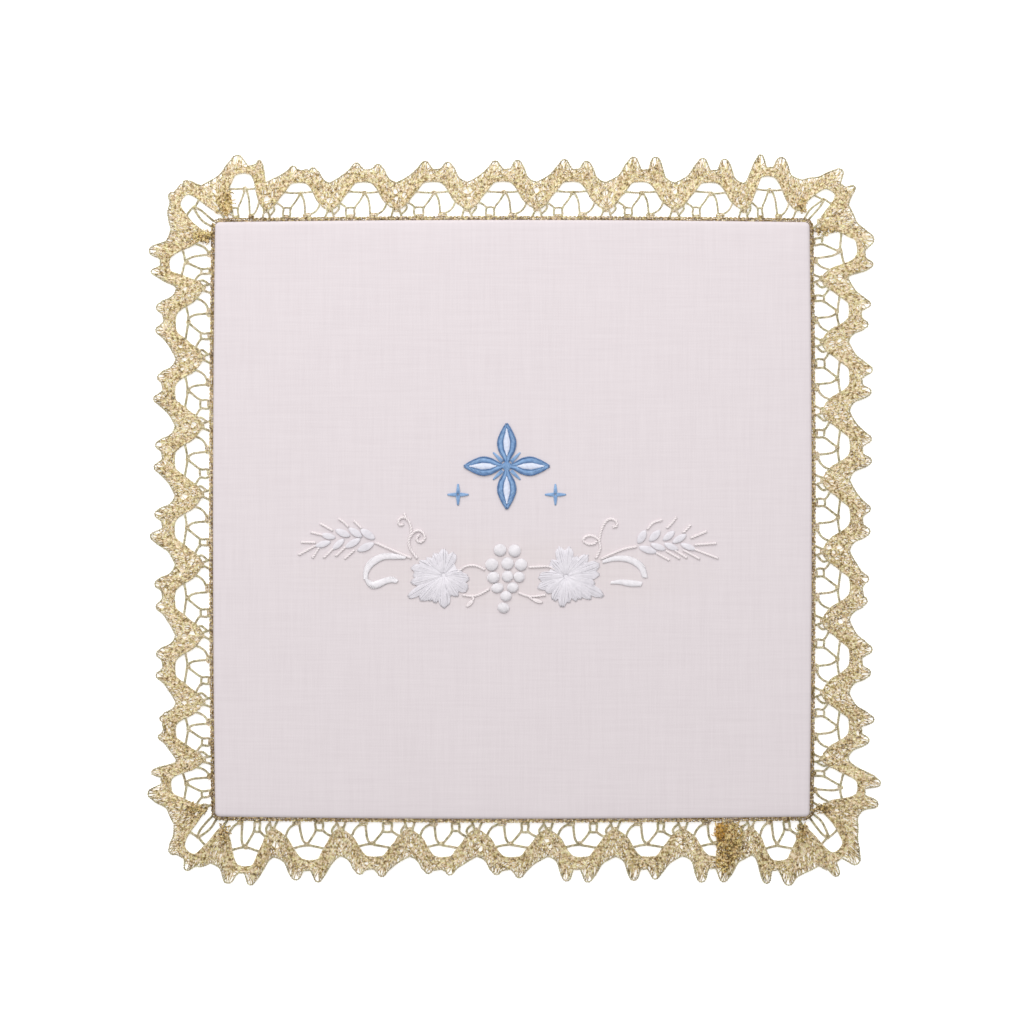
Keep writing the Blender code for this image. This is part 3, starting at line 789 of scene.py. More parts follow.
def bodyKnots(number):  # where the dense cloth ends, below the two points
    start, lean, first, second, valley, skew, swell = scallops[number]
    nextValley = scallops[(number + 1) % len(scallops)][4]
    crown = laceForm["crown"] * (1 + laceForm["crownSwell"] * (swell - 1)) - 0.15
    return [
        (0.00, 0.0, valley - 0.1), (0.08, 1.9, valley + 0.5), (0.16, 3.7, max(crown - 2.0, valley + 1.1)),
        (0.25, 5.4, crown - 0.6), (0.365, 7.2, (crown + first) / 2 - 0.6), (0.50, 9.3, crown - 0.1),
        (0.61, 11.2, crown), (0.69, 12.9, (crown + second) / 2 - 0.6), (0.765, 14.1, max(crown - 1.0, nextValley + 1.0)),
        (0.82, 15.0, max(crown - 2.4, nextValley + 0.8)), (0.90, 16.4, nextValley + 0.3), (1.00, 18.0, nextValley - 0.1),
    ]


def skewedKnots(number, knots, u):
    line = smoothKnots(knots, u)
    share = line[:, 0] / laceForm["repeat"]
    line[:, 0] += scallops[number][5] * 4 * share * (1 - share)
    return line


def trailEdges(number, u):  # the trail's inner and outer edge in one scallop's plan
    outer = skewedKnots(number, outerKnots(number), u)
    inner = smoothKnots(innerKnots, u)
    inner[:, 0] = skewAcross(number, inner[:, 0], inner[:, 1])
    inner[:, 1] = swellOut(number, inner[:, 0], inner[:, 1])
    return inner, outer


def layInTrail(side, u, width, rise, chance):  # u counts scallops along the side, width runs 0 to 1
    route = np.zeros((len(u), 3))
    whole = np.clip(np.floor(u).astype(int), 0, 9)
    for scallop in range(10):
        here = whole == scallop
        if not here.any():
            continue
        number = 10 * side + scallop
        inner, outer = trailEdges(number, u[here] - scallop)
        body = skewedKnots(number, bodyKnots(number), u[here] - scallop)
        reach = np.clip((width[here] - braid["bodyShare"]) / (1 - braid["bodyShare"]), 0, 1)
        edge = body + reach[:, None] * (outer - body)
        middle = inner + width[here, None] * (edge - inner)
        middle += chance.normal(0, braid["looseness"], middle.shape)
        across, out = openPinholes(scallopPinholes(number), middle[:, 0], middle[:, 1])
        route[here] = layThread(number, across, out, rise[here])
    return route


def evenPlaces(side, count):  # places along one side's trail with as much cloth between each two
    u = np.minimum(np.linspace(0, 10, 801), 9.9999)
    edges = []
    for scallop in range(10):
        number = 10 * side + scallop
        inner, outer = trailEdges(number, u[np.floor(u) == scallop] - scallop)
        edges.append([layThread(number, line[:, 0], line[:, 1], 0.0) for line in (inner, outer)])
    inner, outer = (np.vstack([pair[which] for pair in edges]) for which in (0, 1))
    long = np.linalg.norm(np.diff((inner + outer) / 2, axis=0), axis=1)
    wide = np.linalg.norm(inner - outer, axis=1)[1:]
    walked = np.concatenate([[0], np.cumsum(long * (wide + 1.0))])
    return np.interp(np.linspace(0, walked[-1], count), walked, u)


def makeTrail(side):
    chance = np.random.default_rng(11 + side)
    count = braid["threads"]
    crossings = np.arange(int(10 * braid["turns"] * 2 * count) + 1)
    u = evenPlaces(side, len(crossings))
    routes = []
    for thread in range(count):
        turns = crossings / (2 * count)
        phase = np.mod(turns + thread / count, 1.0)
        width = 1 - np.abs(2 * phase - 1)
        if thread % braid["staying"] == 0:
            width = width * braid["bodyShare"]
        outward = np.where(phase < 0.5, 1.0, -1.0)
        parity = 1 - 2 * np.mod(crossings + 2 * thread, 2)
        routes.append(layInTrail(side, u, width, braid["rise"] * outward * parity, chance))
    for share in braid["passives"]:
        u = np.arange(0, 10.0001, braid["passiveStep"])
        sway = share + 0.04 * np.sin(u * 9 + 7 * share)
        rise = 0.05 * np.cos(np.arange(len(u)) * math.pi)
        routes.append(layInTrail(side, u, sway, rise, chance))
    cloth = threadMesh("trailCloth", routes, braid["radius"], goldThread)
    outline, inside = [], []
    u = np.linspace(0, 1, 80)[:-1]
    for number in range(10 * side, 10 * side + 10):
        inner, outer = trailEdges(number, u)
        outline.append(layThread(number, outer[:, 0], outer[:, 1], 0.0))
        inside.append(layThread(number, inner[:, 0], inner[:, 1], 0.0))
    cords = twistedPair(np.vstack(outline), 0.14, 1.3, 4) + twistedPair(np.vstack(inside), 0.12, 1.3, 4)
    edges = threadMesh("trailCords", cords, 0.14, plaitThread)
    return joinPieces("laceTrail" + sideNames[side], [cloth, edges])


# The net's plaits, each a route of across and out in the nominal scallop.
plaits = {
    "bar": [(4.5, 7.45), (7.2, 7.2), (9.4, 7.15)],
    "barRight": [(9.5, 7.15), (11.4, 7.1), (13.8, 7.4)],
    "leftSpoke": [(9.2, 6.8), (8.0, 4.8), (7.0, 3.5), (6.6, 2.4), (6.7, 1.4), (6.5, 0.4)],
    "rightSpoke": [(9.9, 6.9), (10.7, 5.2), (11.0, 3.6), (11.2, 1.4)],
    "leftPlait": [(2.4, 4.6), (3.9, 3.8), (4.8, 3.0), (4.75, 2.1), (4.7, 1.4), (5.0, 0.4)],
    "smallBar": [(4.7, 3.0), (5.6, 3.1), (6.7, 3.0)],
    "rightPlait": [(12.4, 1.3), (13.7, 2.0), (14.6, 3.1), (15.0, 4.1), (15.5, 4.8)],
    "stemLeft": [(0.3, 3.2), (0.7, 1.9), (1.3, 0.3)],
    "stemRight": [(17.7, 3.2), (17.3, 1.9), (16.6, 0.3)],
    "lowLeft": [(1.9, 4.2), (2.5, 2.9), (1.9, 1.9), (1.1, 1.2)],
}
# Small woven patches: middle, half sizes, threads along and across.
patches = {
    "eye": (9.45, 6.95, 0.55, 0.5, 3, 3),
    "leftFoot": (5.75, 0.8, 0.9, 0.35, 2, 5),
    "rightFoot": (11.8, 1.0, 1.1, 0.55, 3, 6),
    "valleyFoot": (0.0, 2.5, 0.8, 0.5, 3, 4),
}
cornerPlaits = ("bar", "barRight", "leftSpoke", "rightSpoke")


def scallopRoom(number):
    return spokes[number + 1][0] - spokes[number][0]


def makeWeb(side):
    luck = random.Random(51 + side)
    strands = []
    patchThreads = []
    for number in range(10 * side, 10 * side + 10):
        tight = scallopRoom(number) < 8
        for name, route in plaits.items():
            if tight and name not in cornerPlaits:
                continue
            if tight and name == "rightSpoke":
                route = route + [(11.2, 0.6)]
            shifted = []
            shiftAcross, shiftOut = luck.uniform(-0.3, 0.3), luck.uniform(-0.2, 0.2)
            for across, out in route:
                freedom = 1 if out > 1.2 else 0.3
                sag = laceForm["barSag"][sideNames[side]] * max(0, 1 - abs(across - 9.4) / 4) if out > 6 else 0
                shifted.append((across + freedom * shiftAcross, out + freedom * shiftOut - sag, 0.0))
            fine = smoothRoute(shifted, 0.3)
            across = skewAcross(number, fine[:, 0], fine[:, 1])
            out = swellOut(number, fine[:, 0], fine[:, 1])
            laid = layThread(number, across, out, 0.0)
            phase = luck.uniform(0, 3)
            halfWidth = laceForm["plaitHalf"][sideNames[side]]
            strands += flatPlait(laid, halfWidth, laceForm["plaitRadius"], laceForm["plaitPitch"], 6, phase)
        for name, (across, out, halfAcross, halfOut, along, over) in patches.items():
            if tight and name != "eye":
                continue
            across += luck.uniform(-0.2, 0.2)
            out += luck.uniform(-0.1, 0.1) - (laceForm["barSag"][sideNames[side]] if name == "eye" else 0)
            patchThreads += wovenPatch(number, across, out, halfAcross, halfOut, along, over, luck)
    pair = threadMesh("plaitStrands", strands, laceForm["plaitRadius"], plaitThread)
    woven = threadMesh("patchThreads", patchThreads, 0.13, goldThread)
    return joinPieces("laceNet" + sideNames[side], [pair, woven])


def wovenPatch(number, across, out, halfAcross, halfOut, along, over, luck):
    routes = []
    rise = laceForm["underOver"]
    a = np.linspace(-halfAcross, halfAcross, over)
    o = np.linspace(-halfOut, halfOut, along)
    gridA, gridO = np.meshgrid(a, o)
    gridA = across + gridA * (1 - 0.25 * (gridO / halfOut) ** 2) + luck.uniform(-0.05, 0.05)
    gridO = out + gridO * (1 - 0.25 * ((gridA - across) / halfAcross) ** 2)
    gridA, gridO = skewAcross(number, gridA, gridO), swellOut(number, gridA, gridO)
    sign = 1 - 2 * ((np.arange(along)[:, None] + np.arange(over)[None]) % 2)
    for row in range(along):
        routes.append(layThread(number, gridA[row], gridO[row], rise * sign[row]))
    for column in range(over):
        routes.append(layThread(number, gridA[:, column], gridO[:, column], -rise * sign[:, column]))
    return routes


footForm = {
    "runs": [-0.10, 0.2, 0.52],  # how far out its long threads lie
    "radius": 0.14,
    "step": 0.55,
    "rise": 0.12,
    "lift": 0.5,
}


def makeFoot():
    count = int(perimeter / footForm["step"] / 2) * 2
    along = np.arange(count) * perimeter / count
    luck = random.Random(7)
    runs = []
    parity = 1 - 2 * (np.arange(count) % 2)
    for number, offset in enumerate(footForm["runs"]):
        wander = np.array([luck.gauss(0, 0.07) for _ in along])
        x, y = edgePoint(along, laceForm["gap"] * 0.4 + offset + wander)
        sign = parity if number % 2 == 0 else -parity
        z = laceHeight(x, y) + footForm["lift"] + footForm["rise"] * sign
        runs.append(np.stack([x, y, z], axis=1))
    weaver = []
    lowest, highest = footForm["runs"][0] - 0.18, footForm["runs"][-1] + 0.2
    for index, place in enumerate(along):
        ends = (lowest, highest) if index % 2 == 0 else (highest, lowest)
        outs = np.linspace(*ends, 4) + laceForm["gap"] * 0.4
        x, y = edgePoint(np.full(4, place) + luck.uniform(-0.12, 0.12), outs)
        rise = footForm["rise"] * np.array([0, 1, -1, 0]) * (1 if index % 2 == 0 else -1)
        weaver.append(np.stack([x, y, laceHeight(x, y) + footForm["lift"] + rise], axis=1))
    return threadMesh("laceFoot", runs + [np.vstack(weaver)], footForm["radius"], goldThread)


# Places where the strip is gathered or lapped: middle, half sizes and how many loose loops.
gathers = [
    (-76.6, 84.6, 2.1, 4.6, 170), (-82.9, 75.6, 3.9, 1.7, 100),
    (77.5, 84.0, 1.5, 3.2, 34), (83.5, 77.2, 3.6, 1.5, 40),
    (83.0, -77.6, 3.4, 1.4, 36), (77.6, -84.0, 1.4, 3.4, 30),
    (-77.2, -84.0, 1.5, 3.4, 34), (-84.5, -77.6, 4.2, 1.5, 40),
]


def looseLoops(luck, middle, halfX, halfY, count, low, high):
    routes = []
    for _ in range(count):
        angle = luck.uniform(0, 2 * math.pi)
        away = math.sqrt(luck.random())
        x = middle[0] + halfX * away * math.cos(angle)
        y = middle[1] + halfY * away * math.sin(angle)
        heading = luck.uniform(0, 2 * math.pi)
        bend = luck.uniform(-1.2, 1.2)
        points = []
        for step in range(7):
            rise = low + (high - low) * (0.5 + 0.5 * math.sin(step * 1.7 + angle))
            points.append((x, y, float(laceHeight(np.float64(x), np.float64(y))) + rise))
            x += 0.24 * math.cos(heading)
            y += 0.24 * math.sin(heading)
            heading += bend
        routes.append(points)
    return routes


def makeGathers():
    luck = random.Random(23)
    routes = []
    for x, y, halfX, halfY, count in gathers:
        routes += looseLoops(luck, (x, y), halfX * 0.7, halfY * 0.7, count, -0.1, 0.4)
    return threadMesh("laceGathers", [np.array(route) for route in routes], 0.14, crowdShadeThread)


lapForm = {
    "scallop": 21,
    "outline": [(2.2, 0.6), (9.6, 0.6), (9.3, 6.0), (9.4, 12.6), (8.0, 13.0), (7.6, 15.2), (6.9, 15.3),
                (5.7, 12.7), (2.7, 9.6)],
    "rise": 0.55,
    "loops": 240,
    "tuft": (55.6, -83.4, 1.5, 1.9),
}


def insideOutline(outline, x, y):
    inside = False
    for (ax, ay), (bx, by) in zip(outline, outline[1:] + outline[:1]):
        if (ay > y) != (by > y) and x < (bx - ax) * (y - ay) / (by - ay) + ax:
            inside = not inside
    return inside


def makeLap():  # the strip's two ends, one laid over the other and sewn through
    luck = random.Random(31)
    number = lapForm["scallop"]
    routes = []
    while len(routes) < lapForm["loops"]:
        across, out = luck.uniform(2, 9.6), luck.uniform(0.6, 15)
        if not insideOutline(lapForm["outline"], across, out):
            continue
        heading = luck.choice((0.9, -0.9, 1.5)) + luck.gauss(0, 0.35)
        bend = luck.gauss(0, 0.5)
        line = []
        for step in range(9):
            line.append((across, out, lapForm["rise"] * (0.5 + 0.5 * math.sin(1.9 * step + len(routes)))))
            across += 0.45 * math.cos(heading)
            out += 0.45 * math.sin(heading)
            heading += bend
            if not insideOutline(lapForm["outline"], across, out):
                break
        if len(line) > 3:
            line = np.array(line)
            routes.append(layThread(number, line[:, 0], line[:, 1], line[:, 2] + 0.1))
    x, y, halfX, halfY = lapForm["tuft"]
    tuft = looseLoops(luck, (x, y), halfX, halfY, 60, 0.2, 1.0)
    cloth = threadMesh("lapCloth", routes[20:], 0.145, crowdShadeThread)
    ends = threadMesh("lapEnds", [np.array(route) for route in tuft] + routes[:20], 0.12, tuftThread)
    return joinPieces("laceLap", [cloth, ends])


def paintToneAndShade(piece, base=0.55):  # how light the thread is: its own uneven tone, with painted shade near the linen, at the gathers and over the lap, and painted light towards the top
    mesh = piece.data
    points = np.zeros(len(mesh.vertices) * 3)
    mesh.vertices.foreach_get("co", points)
    x, y, z = (points / mm).reshape(-1, 3).T
    out = np.maximum(np.abs(x), np.abs(y)) - halfSide - linenBox["sideBow"]
    toneAndShade = np.full(len(x), base)
    # painted shade: darker close to the linen's edge, where the lace meets it
    toneAndShade -= 0.2 * np.clip(1.2 - out, 0, 1) + 0.3 * np.clip(0.5 - out, 0, 0.5)
    # painted light: lighter towards the top and darker towards the bottom, as the lamp falls
    toneAndShade += 0.02 * np.clip(y / halfSide, -1, 1)
    toneAndShade += 0.05 * np.sin(x / 5.1 + 2 * np.sin(y / 7.7)) * np.sin(y / 4.3 + 1)
    # painted shade: darker where the strip is gathered and its threads crowd
    for middleX, middleY, halfX, halfY, count in gathers:
        away = ((x - middleX) / halfX) ** 2 + ((y - middleY) / halfY) ** 2
        toneAndShade -= 0.15 * np.exp(-away)
    # painted shade: darker over the lap, where the strip's two ends overlap
    toneAndShade -= 0.11 * np.exp(-(((x - 57.5) / 3.6) ** 2 + ((y + 89) / 7.5) ** 4))
    layer = mesh.attributes.new("toneAndShade", "FLOAT", "POINT")
    layer.data.foreach_set("value", np.clip(toneAndShade, 0.02, 1).astype(np.float32))


lacePieces = []
for side in range(4):
    lacePieces += [makeTrail(side), makeWeb(side)]
    print("lace made:", sideNames[side])
lacePieces += [makeFoot(), makeGathers(), makeLap()]
for piece in lacePieces:
    paintToneAndShade(piece)
    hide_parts("lace_edging")


# ---- embroidery
stitchForm = {
    "radius": 0.19,
    "spacing": 0.34,
    "foot": 0.10,  # how far above the linen a stitch goes in
}


def satinStitch(start, end, height):  # one stitch that arches over its padding
    start, end = np.asarray(start, float), np.asarray(end, float)
    shares = np.array([0, 0.12, 0.35, 0.65, 0.88, 1])
    arch = np.array([0, 0.62, 0.96, 0.96, 0.62, 0])
    line = start + shares[:, None] * (end - start)
    z = linenTop + stitchForm["foot"] + arch * height
    return np.column_stack([line, z])


def stemRoute(points, height):
    flat = [(x, y, linenTop + height) for x, y in points]
    return smoothRoute(flat, 0.25)


def stemCord(points, swing=0.2, pitch=1.5, height=0.22):  # stem stitch, which looks like a fine rope
    return twistedPair(stemRoute(points, height), swing, pitch, steps=6)


def paddedDome(name, x, y, halfLong, halfWide, height, turn, material):
    bpy.ops.object.select_all(action="DESELECT")
    bpy.ops.mesh.primitive_uv_sphere_add(segments=20, ring_count=10, radius=mm, location=(0, 0, 0))
    dome = bpy.context.object
    dome.name = name
    dome.scale = (halfLong, halfWide, height)
    dome.rotation_euler = (0, 0, turn)
    dome.location = (x * mm, y * mm, (linenTop + 0.05) * mm)
    bpy.ops.object.transform_apply(location=True, rotation=True, scale=True)
    bpy.ops.object.shade_smooth()
    dome.data.materials.append(material)
    return dome


# Grapes: place and half sizes.
grapes = [
    (-3.3, -8.2, 1.65, 1.6), (0.6, -8.4, 1.6, 1.65), (-5.5, -12.1, 1.7, 1.65), (-1.3, -11.8, 1.6, 1.65),
    (2.3, -12.1, 1.6, 1.6), (-5.1, -15.5, 1.65, 1.5), (-1.3, -15.2, 1.45, 1.5), (1.8, -15.4, 1.45, 1.4),
    (-4.0, -18.3, 1.6, 1.3), (0.1, -18.2, 1.5, 1.35), (-1.7, -20.5, 1.45, 1.35), (-2.4, -23.6, 1.55, 1.35),
]


def domeStitches(x, y, halfLong, halfWide, height, turn, spacing):  # side by side over a dome, along its length
    routes = []
    count = max(3, int(round(2 * halfWide / spacing)))
    for index in range(count):
        v = -1 + (2 * index + 1) / count
        half = math.sqrt(1 - v * v)
        arc = np.linspace(-math.pi / 2, math.pi / 2, 9)
        u = half * np.sin(arc)
        lift = height * np.sqrt(np.clip(1 - u * u - v * v, 0, 1))
        px, py = u * halfLong, np.full(9, v * halfWide)
        routes.append(np.column_stack([
            x + px * math.cos(turn) - py * math.sin(turn),
            y + px * math.sin(turn) + py * math.cos(turn),
            linenTop + 0.05 + lift,
        ]))
    return routes


def makeGrapes():
    luck = random.Random(5)
    parts = []
    routes = []
    for index, (x, y, halfX, halfY) in enumerate(grapes):
        turn = math.radians(90 + luck.uniform(-12, 12))
        parts.append(paddedDome("grapePad", x, y, halfY - 0.1, halfX - 0.1, 0.78, turn, litWhiteThread))
        routes += domeStitches(x, y, halfY, halfX, 0.84, turn, 0.3)
    parts.append(threadMesh("grapeSatin", routes, 0.16, litWhiteThread))
    return joinPieces("grapeCluster", parts)


leafForm = {
    "middles": {"Left": (-18.4, -14.9), "Right": (14.3, -15.2)},
    # Petals as direction in degrees, reach and half width.
    "petals": {
        "Left": [
            (113, 6.5, 1.0), (91, 7.2, 1.15), (65, 6.8, 1.15), (133, 6.6, 1.05), (151, 7.6, 1.0), (166, 9.1, 1.1),
            (180, 8.5, 1.0), (193, 9.1, 1.1), (212, 11.4, 1.0), (228, 9.4, 1.3), (241, 7.9, 0.9), (251, 8.0, 1.1),
            (272, 8.9, 1.45), (289, 6.1, 0.9), (303, 6.9, 1.2), (328, 7.9, 1.3), (350, 7.1, 1.3), (6, 5.4, 0.9),
        ],
        "Right": [
            (103, 8.2, 1.25), (83, 8.1, 1.1), (133, 5.9, 1.2), (61, 6.3, 0.9), (44, 8.4, 1.1), (20, 9.8, 1.3),
            (3, 9.2, 1.1), (-15, 8.2, 1.0), (-28, 11.6, 1.2), (-42, 9.3, 1.1), (-56, 7.6, 0.9), (-67, 7.4, 0.9),
            (-84, 7.2, 0.9), (-97, 8.5, 1.1), (-117, 7.4, 1.1), (-143, 7.1, 1.1), (-157, 8.4, 1.0), (-178, 7.5, 1.2),
        ],
    },
    "root": 0.4,
    "spacing": 0.27,
    "radius": 0.165,
    "padShare": 0.76,
    "padHeight": 0.2,
}


def spindle(foot, tip, half, height, count, lift=0.0, fullness=1.0):  # satin stitches that meet at a pad's ends
    foot, tip = np.asarray(foot, float), np.asarray(tip, float)
    ahead = (tip - foot) / np.linalg.norm(tip - foot)
    aside = np.array([-ahead[1], ahead[0]])
    shares = np.array([0, 0.07, 0.2, 0.4, 0.6, 0.8, 0.93, 1])
    bulge = np.sin(math.pi * shares ** fullness) ** 0.7
    routes = []
    for index in range(count):
        v = -1 + (2 * index + 1) / count
        flat = foot + shares[:, None] * (tip - foot) + (v * half * bulge)[:, None] * aside
        rise = height * bulge ** 0.8 * math.sqrt(1 - 0.8 * v * v)
        routes.append(np.column_stack([flat, linenTop + stitchForm["foot"] + lift + rise]))
    return routes


def polar(middle, reach, direction):
    angle = math.radians(direction)
    return (middle[0] + reach * math.cos(angle), middle[1] + reach * math.sin(angle))


def petalStitches(middle, direction, reach, half, height, luck):  # long stitches with uneven ends
    angle = math.radians(direction)
    count = max(4, int(round(2 * half / leafForm["spacing"])))
    shares = np.array([0, 0.06, 0.25, 0.5, 0.75, 0.93, 1])
    breadth = np.array([0.2, 0.3, 0.62, 0.9, 1.0, 0.9, 0.78])
    arch = np.array([0, 0.62, 0.9, 1, 0.95, 0.6, 0])
    routes = []
    for index in range(count):
        v = -1 + 2 * index / (count - 1)
        near = leafForm["root"] + luck.uniform(0, 0.8)
        far = reach * (1 - 0.11 * v * v) - luck.uniform(0, 0.4)
        along = near + shares * (far - near)
        aside = v * half * breadth + luck.uniform(-0.05, 0.05)
        x = middle[0] + along * math.cos(angle) - aside * math.sin(angle)
        y = middle[1] + along * math.sin(angle) + aside * math.cos(angle)
        rise = height * arch * (1 - 0.55 * v * v)
        routes.append(np.column_stack([x, y, linenTop + stitchForm["foot"] + rise]))
    return routes


def makeLeaf(name):
    luck = random.Random(len(name))
    middle = leafForm["middles"][name]
    routes = []
    outline = []
    for order, (direction, reach, half) in enumerate(leafForm["petals"][name]):
        height = 0.34 + 0.08 * (order % 2)
        routes += petalStitches(middle, direction, reach, half * 1.06, height, luck)
    for direction, reach, half in sorted(leafForm["petals"][name]):
        outline.append(polar(middle, reach * leafForm["padShare"], direction))
    pad = paddedPlate("leafPad", outline, leafForm["padHeight"], whiteThread)
    satin = threadMesh("leafSatin", routes, leafForm["radius"], whiteThread, sides=6)
    return joinPieces("leaf" + name, [pad, satin])


def paddedPlate(name, outline, height, material):  # a low pad with rounded edges from a flat outline
    curve = bpy.data.curves.new(name, "CURVE")
    curve.dimensions = "2D"
    curve.fill_mode = "BOTH"
    rounding = height * 0.4
    curve.extrude = (height / 2 - rounding) * mm
    curve.bevel_depth = rounding * mm
    curve.bevel_resolution = 1
    curve.offset = -rounding * mm
    spline = curve.splines.new("POLY")
    spline.points.add(len(outline) - 1)
    for point, (x, y) in zip(spline.points, outline):
        point.co = (x * mm, y * mm, 0, 1)
    spline.use_cyclic_u = True
    piece = bpy.data.objects.new(name, curve)
    piece.location.z = (linenTop + 0.05 + height / 2) * mm
    bpy.context.collection.objects.link(piece)
    bpy.ops.object.select_all(action="DESELECT")
    bpy.context.view_layer.objects.active = piece
    piece.select_set(True)
    bpy.ops.object.convert(target="MESH")
    bpy.ops.object.transform_apply(location=True, rotation=True, scale=True)
    bpy.ops.object.mode_set(mode="EDIT")
    bpy.ops.mesh.select_all(action="SELECT")
    bpy.ops.mesh.remove_doubles(threshold=0.001 * mm)
    bpy.ops.mesh.normals_make_consistent(inside=False)
    bpy.ops.object.mode_set(mode="OBJECT")
    bpy.ops.object.shade_smooth()
    piece.data.materials.clear()
    piece.data.materials.append(material)
    return piece


# Folded wheat blades: rows of x, y and half width, one list for each side of the fold.
blades = {
    "Left": [
        [(-28.6, -10.2, 0.4), (-31.6, -9.9, 0.75), (-34.6, -10.0, 0.85), (-37.6, -11.6, 0.95),
         (-39.0, -13.8, 0.7), (-39.2, -16.0, 0.5)],
        [(-38.9, -16.2, 0.4), (-37.4, -17.5, 0.95), (-35.6, -17.2, 0.95), (-33.8, -16.4, 0.8),
         (-32.2, -16.1, 0.8), (-30.9, -16.6, 0.5)],
    ],
    "Right": [
        [(24.2, -11.3, 0.4), (26.6, -10.6, 0.6), (29.2, -10.4, 0.75), (32.0, -11.0, 0.85),
         (34.4, -12.7, 0.9), (35.4, -15.4, 0.65)],
        [(26.4, -16.9, 0.3), (28.8, -16.7, 0.6), (31.6, -17.1, 0.85), (34.4, -17.3, 0.6)],
    ],
}


def bladeStitches(rows, slant=0.35):
    middle = smoothRoute([(x, y, half) for x, y, half in rows], stitchForm["spacing"])
    ahead = np.gradient(middle[:, :2], axis=0)
    ahead /= np.linalg.norm(ahead, axis=1, keepdims=True)
    routes = []
    for (x, y, half), (ax, ay) in zip(middle, ahead):
        sideX, sideY = -ay * half, ax * half
        leanX, leanY = ax * half * slant, ay * half * slant
        start = (x + sideX + leanX, y + sideY + leanY)
        end = (x - sideX - leanX, y - sideY - leanY)
        routes.append(satinStitch(start, end, 0.2 + 0.14 * half))
    return routes


def makeBlade(name):
    routes = []
    for rows in blades[name]:
        routes += bladeStitches(rows)
    return threadMesh("blade" + name, routes, 0.168, litWhiteThread, sides=6)


# Ears: each grain from foot to tip with its half width, then the awns and the stalk.
ears = {
    "Left": {
        "grains": [
            (-36.8, -5.2, -40.5, -2.7, 0.95), (-40.2, -4.7, -43.6, -2.4, 0.85), (-43.4, -4.5, -47.2, -2.8, 0.85),
            (-47.3, -4.9, -50.9, -4.1, 0.75), (-37.0, -6.4, -41.3, -8.4, 0.9), (-40.6, -5.2, -44.6, -7.5, 0.8),
            (-45.0, -5.3, -48.0, -8.0, 0.75), (-48.6, -6.0, -52.6, -7.2, 0.75),
        ],
        "awns": [
            [(-40.3, -2.4), (-42.3, -0.4)], [(-43.8, -2.0), (-45.0, -0.8), (-46.4, 0.2)],
            [(-48.0, -3.0), (-51.3, -1.1)], [(-50.6, -4.2), (-53.8, -3.4)], [(-52.6, -6.2), (-56.4, -6.1)],
            [(-52.6, -7.0), (-57.1, -9.5)], [(-51.7, -7.6), (-53.4, -10.3)], [(-47.9, -7.8), (-50.4, -10.3)],
            [(-44.6, -7.4), (-47.2, -9.8)], [(-42.2, -8.2), (-44.8, -10.5)],
        ],
        "stalk": [(-27.0, -10.3), (-29.6, -9.3), (-33.7, -7.5), (-36.6, -6.2)],
    },
    "Right": {
        "grains": [
            (33.6, -6.4, 35.5, -3.0, 0.95), (36.6, -5.8, 39.4, -3.0, 0.9), (40.3, -5.6, 43.2, -3.2, 0.8),
            (42.8, -6.2, 46.4, -4.1, 0.8), (33.8, -7.4, 38.5, -8.8, 0.85), (37.0, -6.6, 40.8, -8.1, 0.75),
            (40.6, -6.5, 44.2, -8.1, 0.75), (45.0, -6.6, 48.9, -8.1, 0.7),
        ],
        "awns": [
            [(36.0, -2.7), (37.6, -0.9), (40.0, -0.2)], [(41.2, -2.4), (42.5, -1.1), (43.8, 0.6)],
            [(45.6, -3.6), (47.6, -1.5)], [(47.6, -5.0), (51.9, -3.2)], [(48.6, -6.8), (54.4, -6.4)],
            [(48.6, -8.0), (52.3, -9.4), (54.9, -10.4)], [(45.6, -8.2), (50.0, -10.6)], [(43.4, -8.3), (46.6, -10.3)],
            [(41.0, -8.4), (44.7, -10.5)], [(38.4, -9.0), (41.9, -10.9)],
        ],
        "stalk": [(23.6, -10.6), (27.1, -9.0), (29.9, -7.9), (33.2, -7.3)],
    },
}


def makeEar(name):
    parts = []
    routes = []
    for footX, footY, tipX, tipY, half in ears[name]["grains"]:
        turn = math.atan2(tipY - footY, tipX - footX)
        long = math.hypot(tipX - footX, tipY - footY) / 2
        middle = ((footX + tipX) / 2, (footY + tipY) / 2)
        parts.append(paddedDome("grainPad", *middle, long - 0.4, half - 0.15, 0.42, turn, whiteThread))
        routes += spindle((footX, footY), (tipX, tipY), half * 1.08, 0.42, 7)
    parts.append(threadMesh("grainSatin", routes, 0.17, whiteThread, sides=6))
    cords = []
    for points in ears[name]["awns"]:
        cords += stemCord(points, 0.17)
    cords += stemCord(ears[name]["stalk"])
    parts.append(threadMesh("awnStitches", cords, 0.21, stemThread, sides=6))
    return joinPieces("ear" + name, parts)


tendrils = {
    "Left": [
        [(-25.4, -10.4), (-27.2, -8.0), (-27.7, -6.0), (-27.1, -3.7), (-27.3, -1.4), (-28.2, 0.1), (-29.3, 0.5),
         (-30.3, -0.1), (-30.4, -1.1), (-29.7, -1.6), (-29.1, -1.1)],
        [(-28.4, 0.2), (-28.9, 1.6)],
        [(-27.4, -4.9), (-26.3, -3.4), (-24.8, -3.0), (-23.6, -4.0), (-23.5, -5.2), (-24.5, -6.1), (-25.5, -5.6),
         (-25.4, -4.5), (-24.7, -4.3)],
    ],
    "Right": [
        [(22.3, -10.4), (23.4, -7.8), (23.2, -5.6), (23.7, -2.9), (24.4, -1.4), (25.2, -0.3), (26.5, 0.1),
         (27.7, -0.6), (27.8, -1.8), (26.8, -2.0)],
        [(23.2, -5.6), (22.0, -4.7), (20.6, -4.3), (19.2, -4.9), (19.0, -5.8), (20.2, -6.6), (21.7, -6.5),
         (22.6, -5.8)],
    ],
}
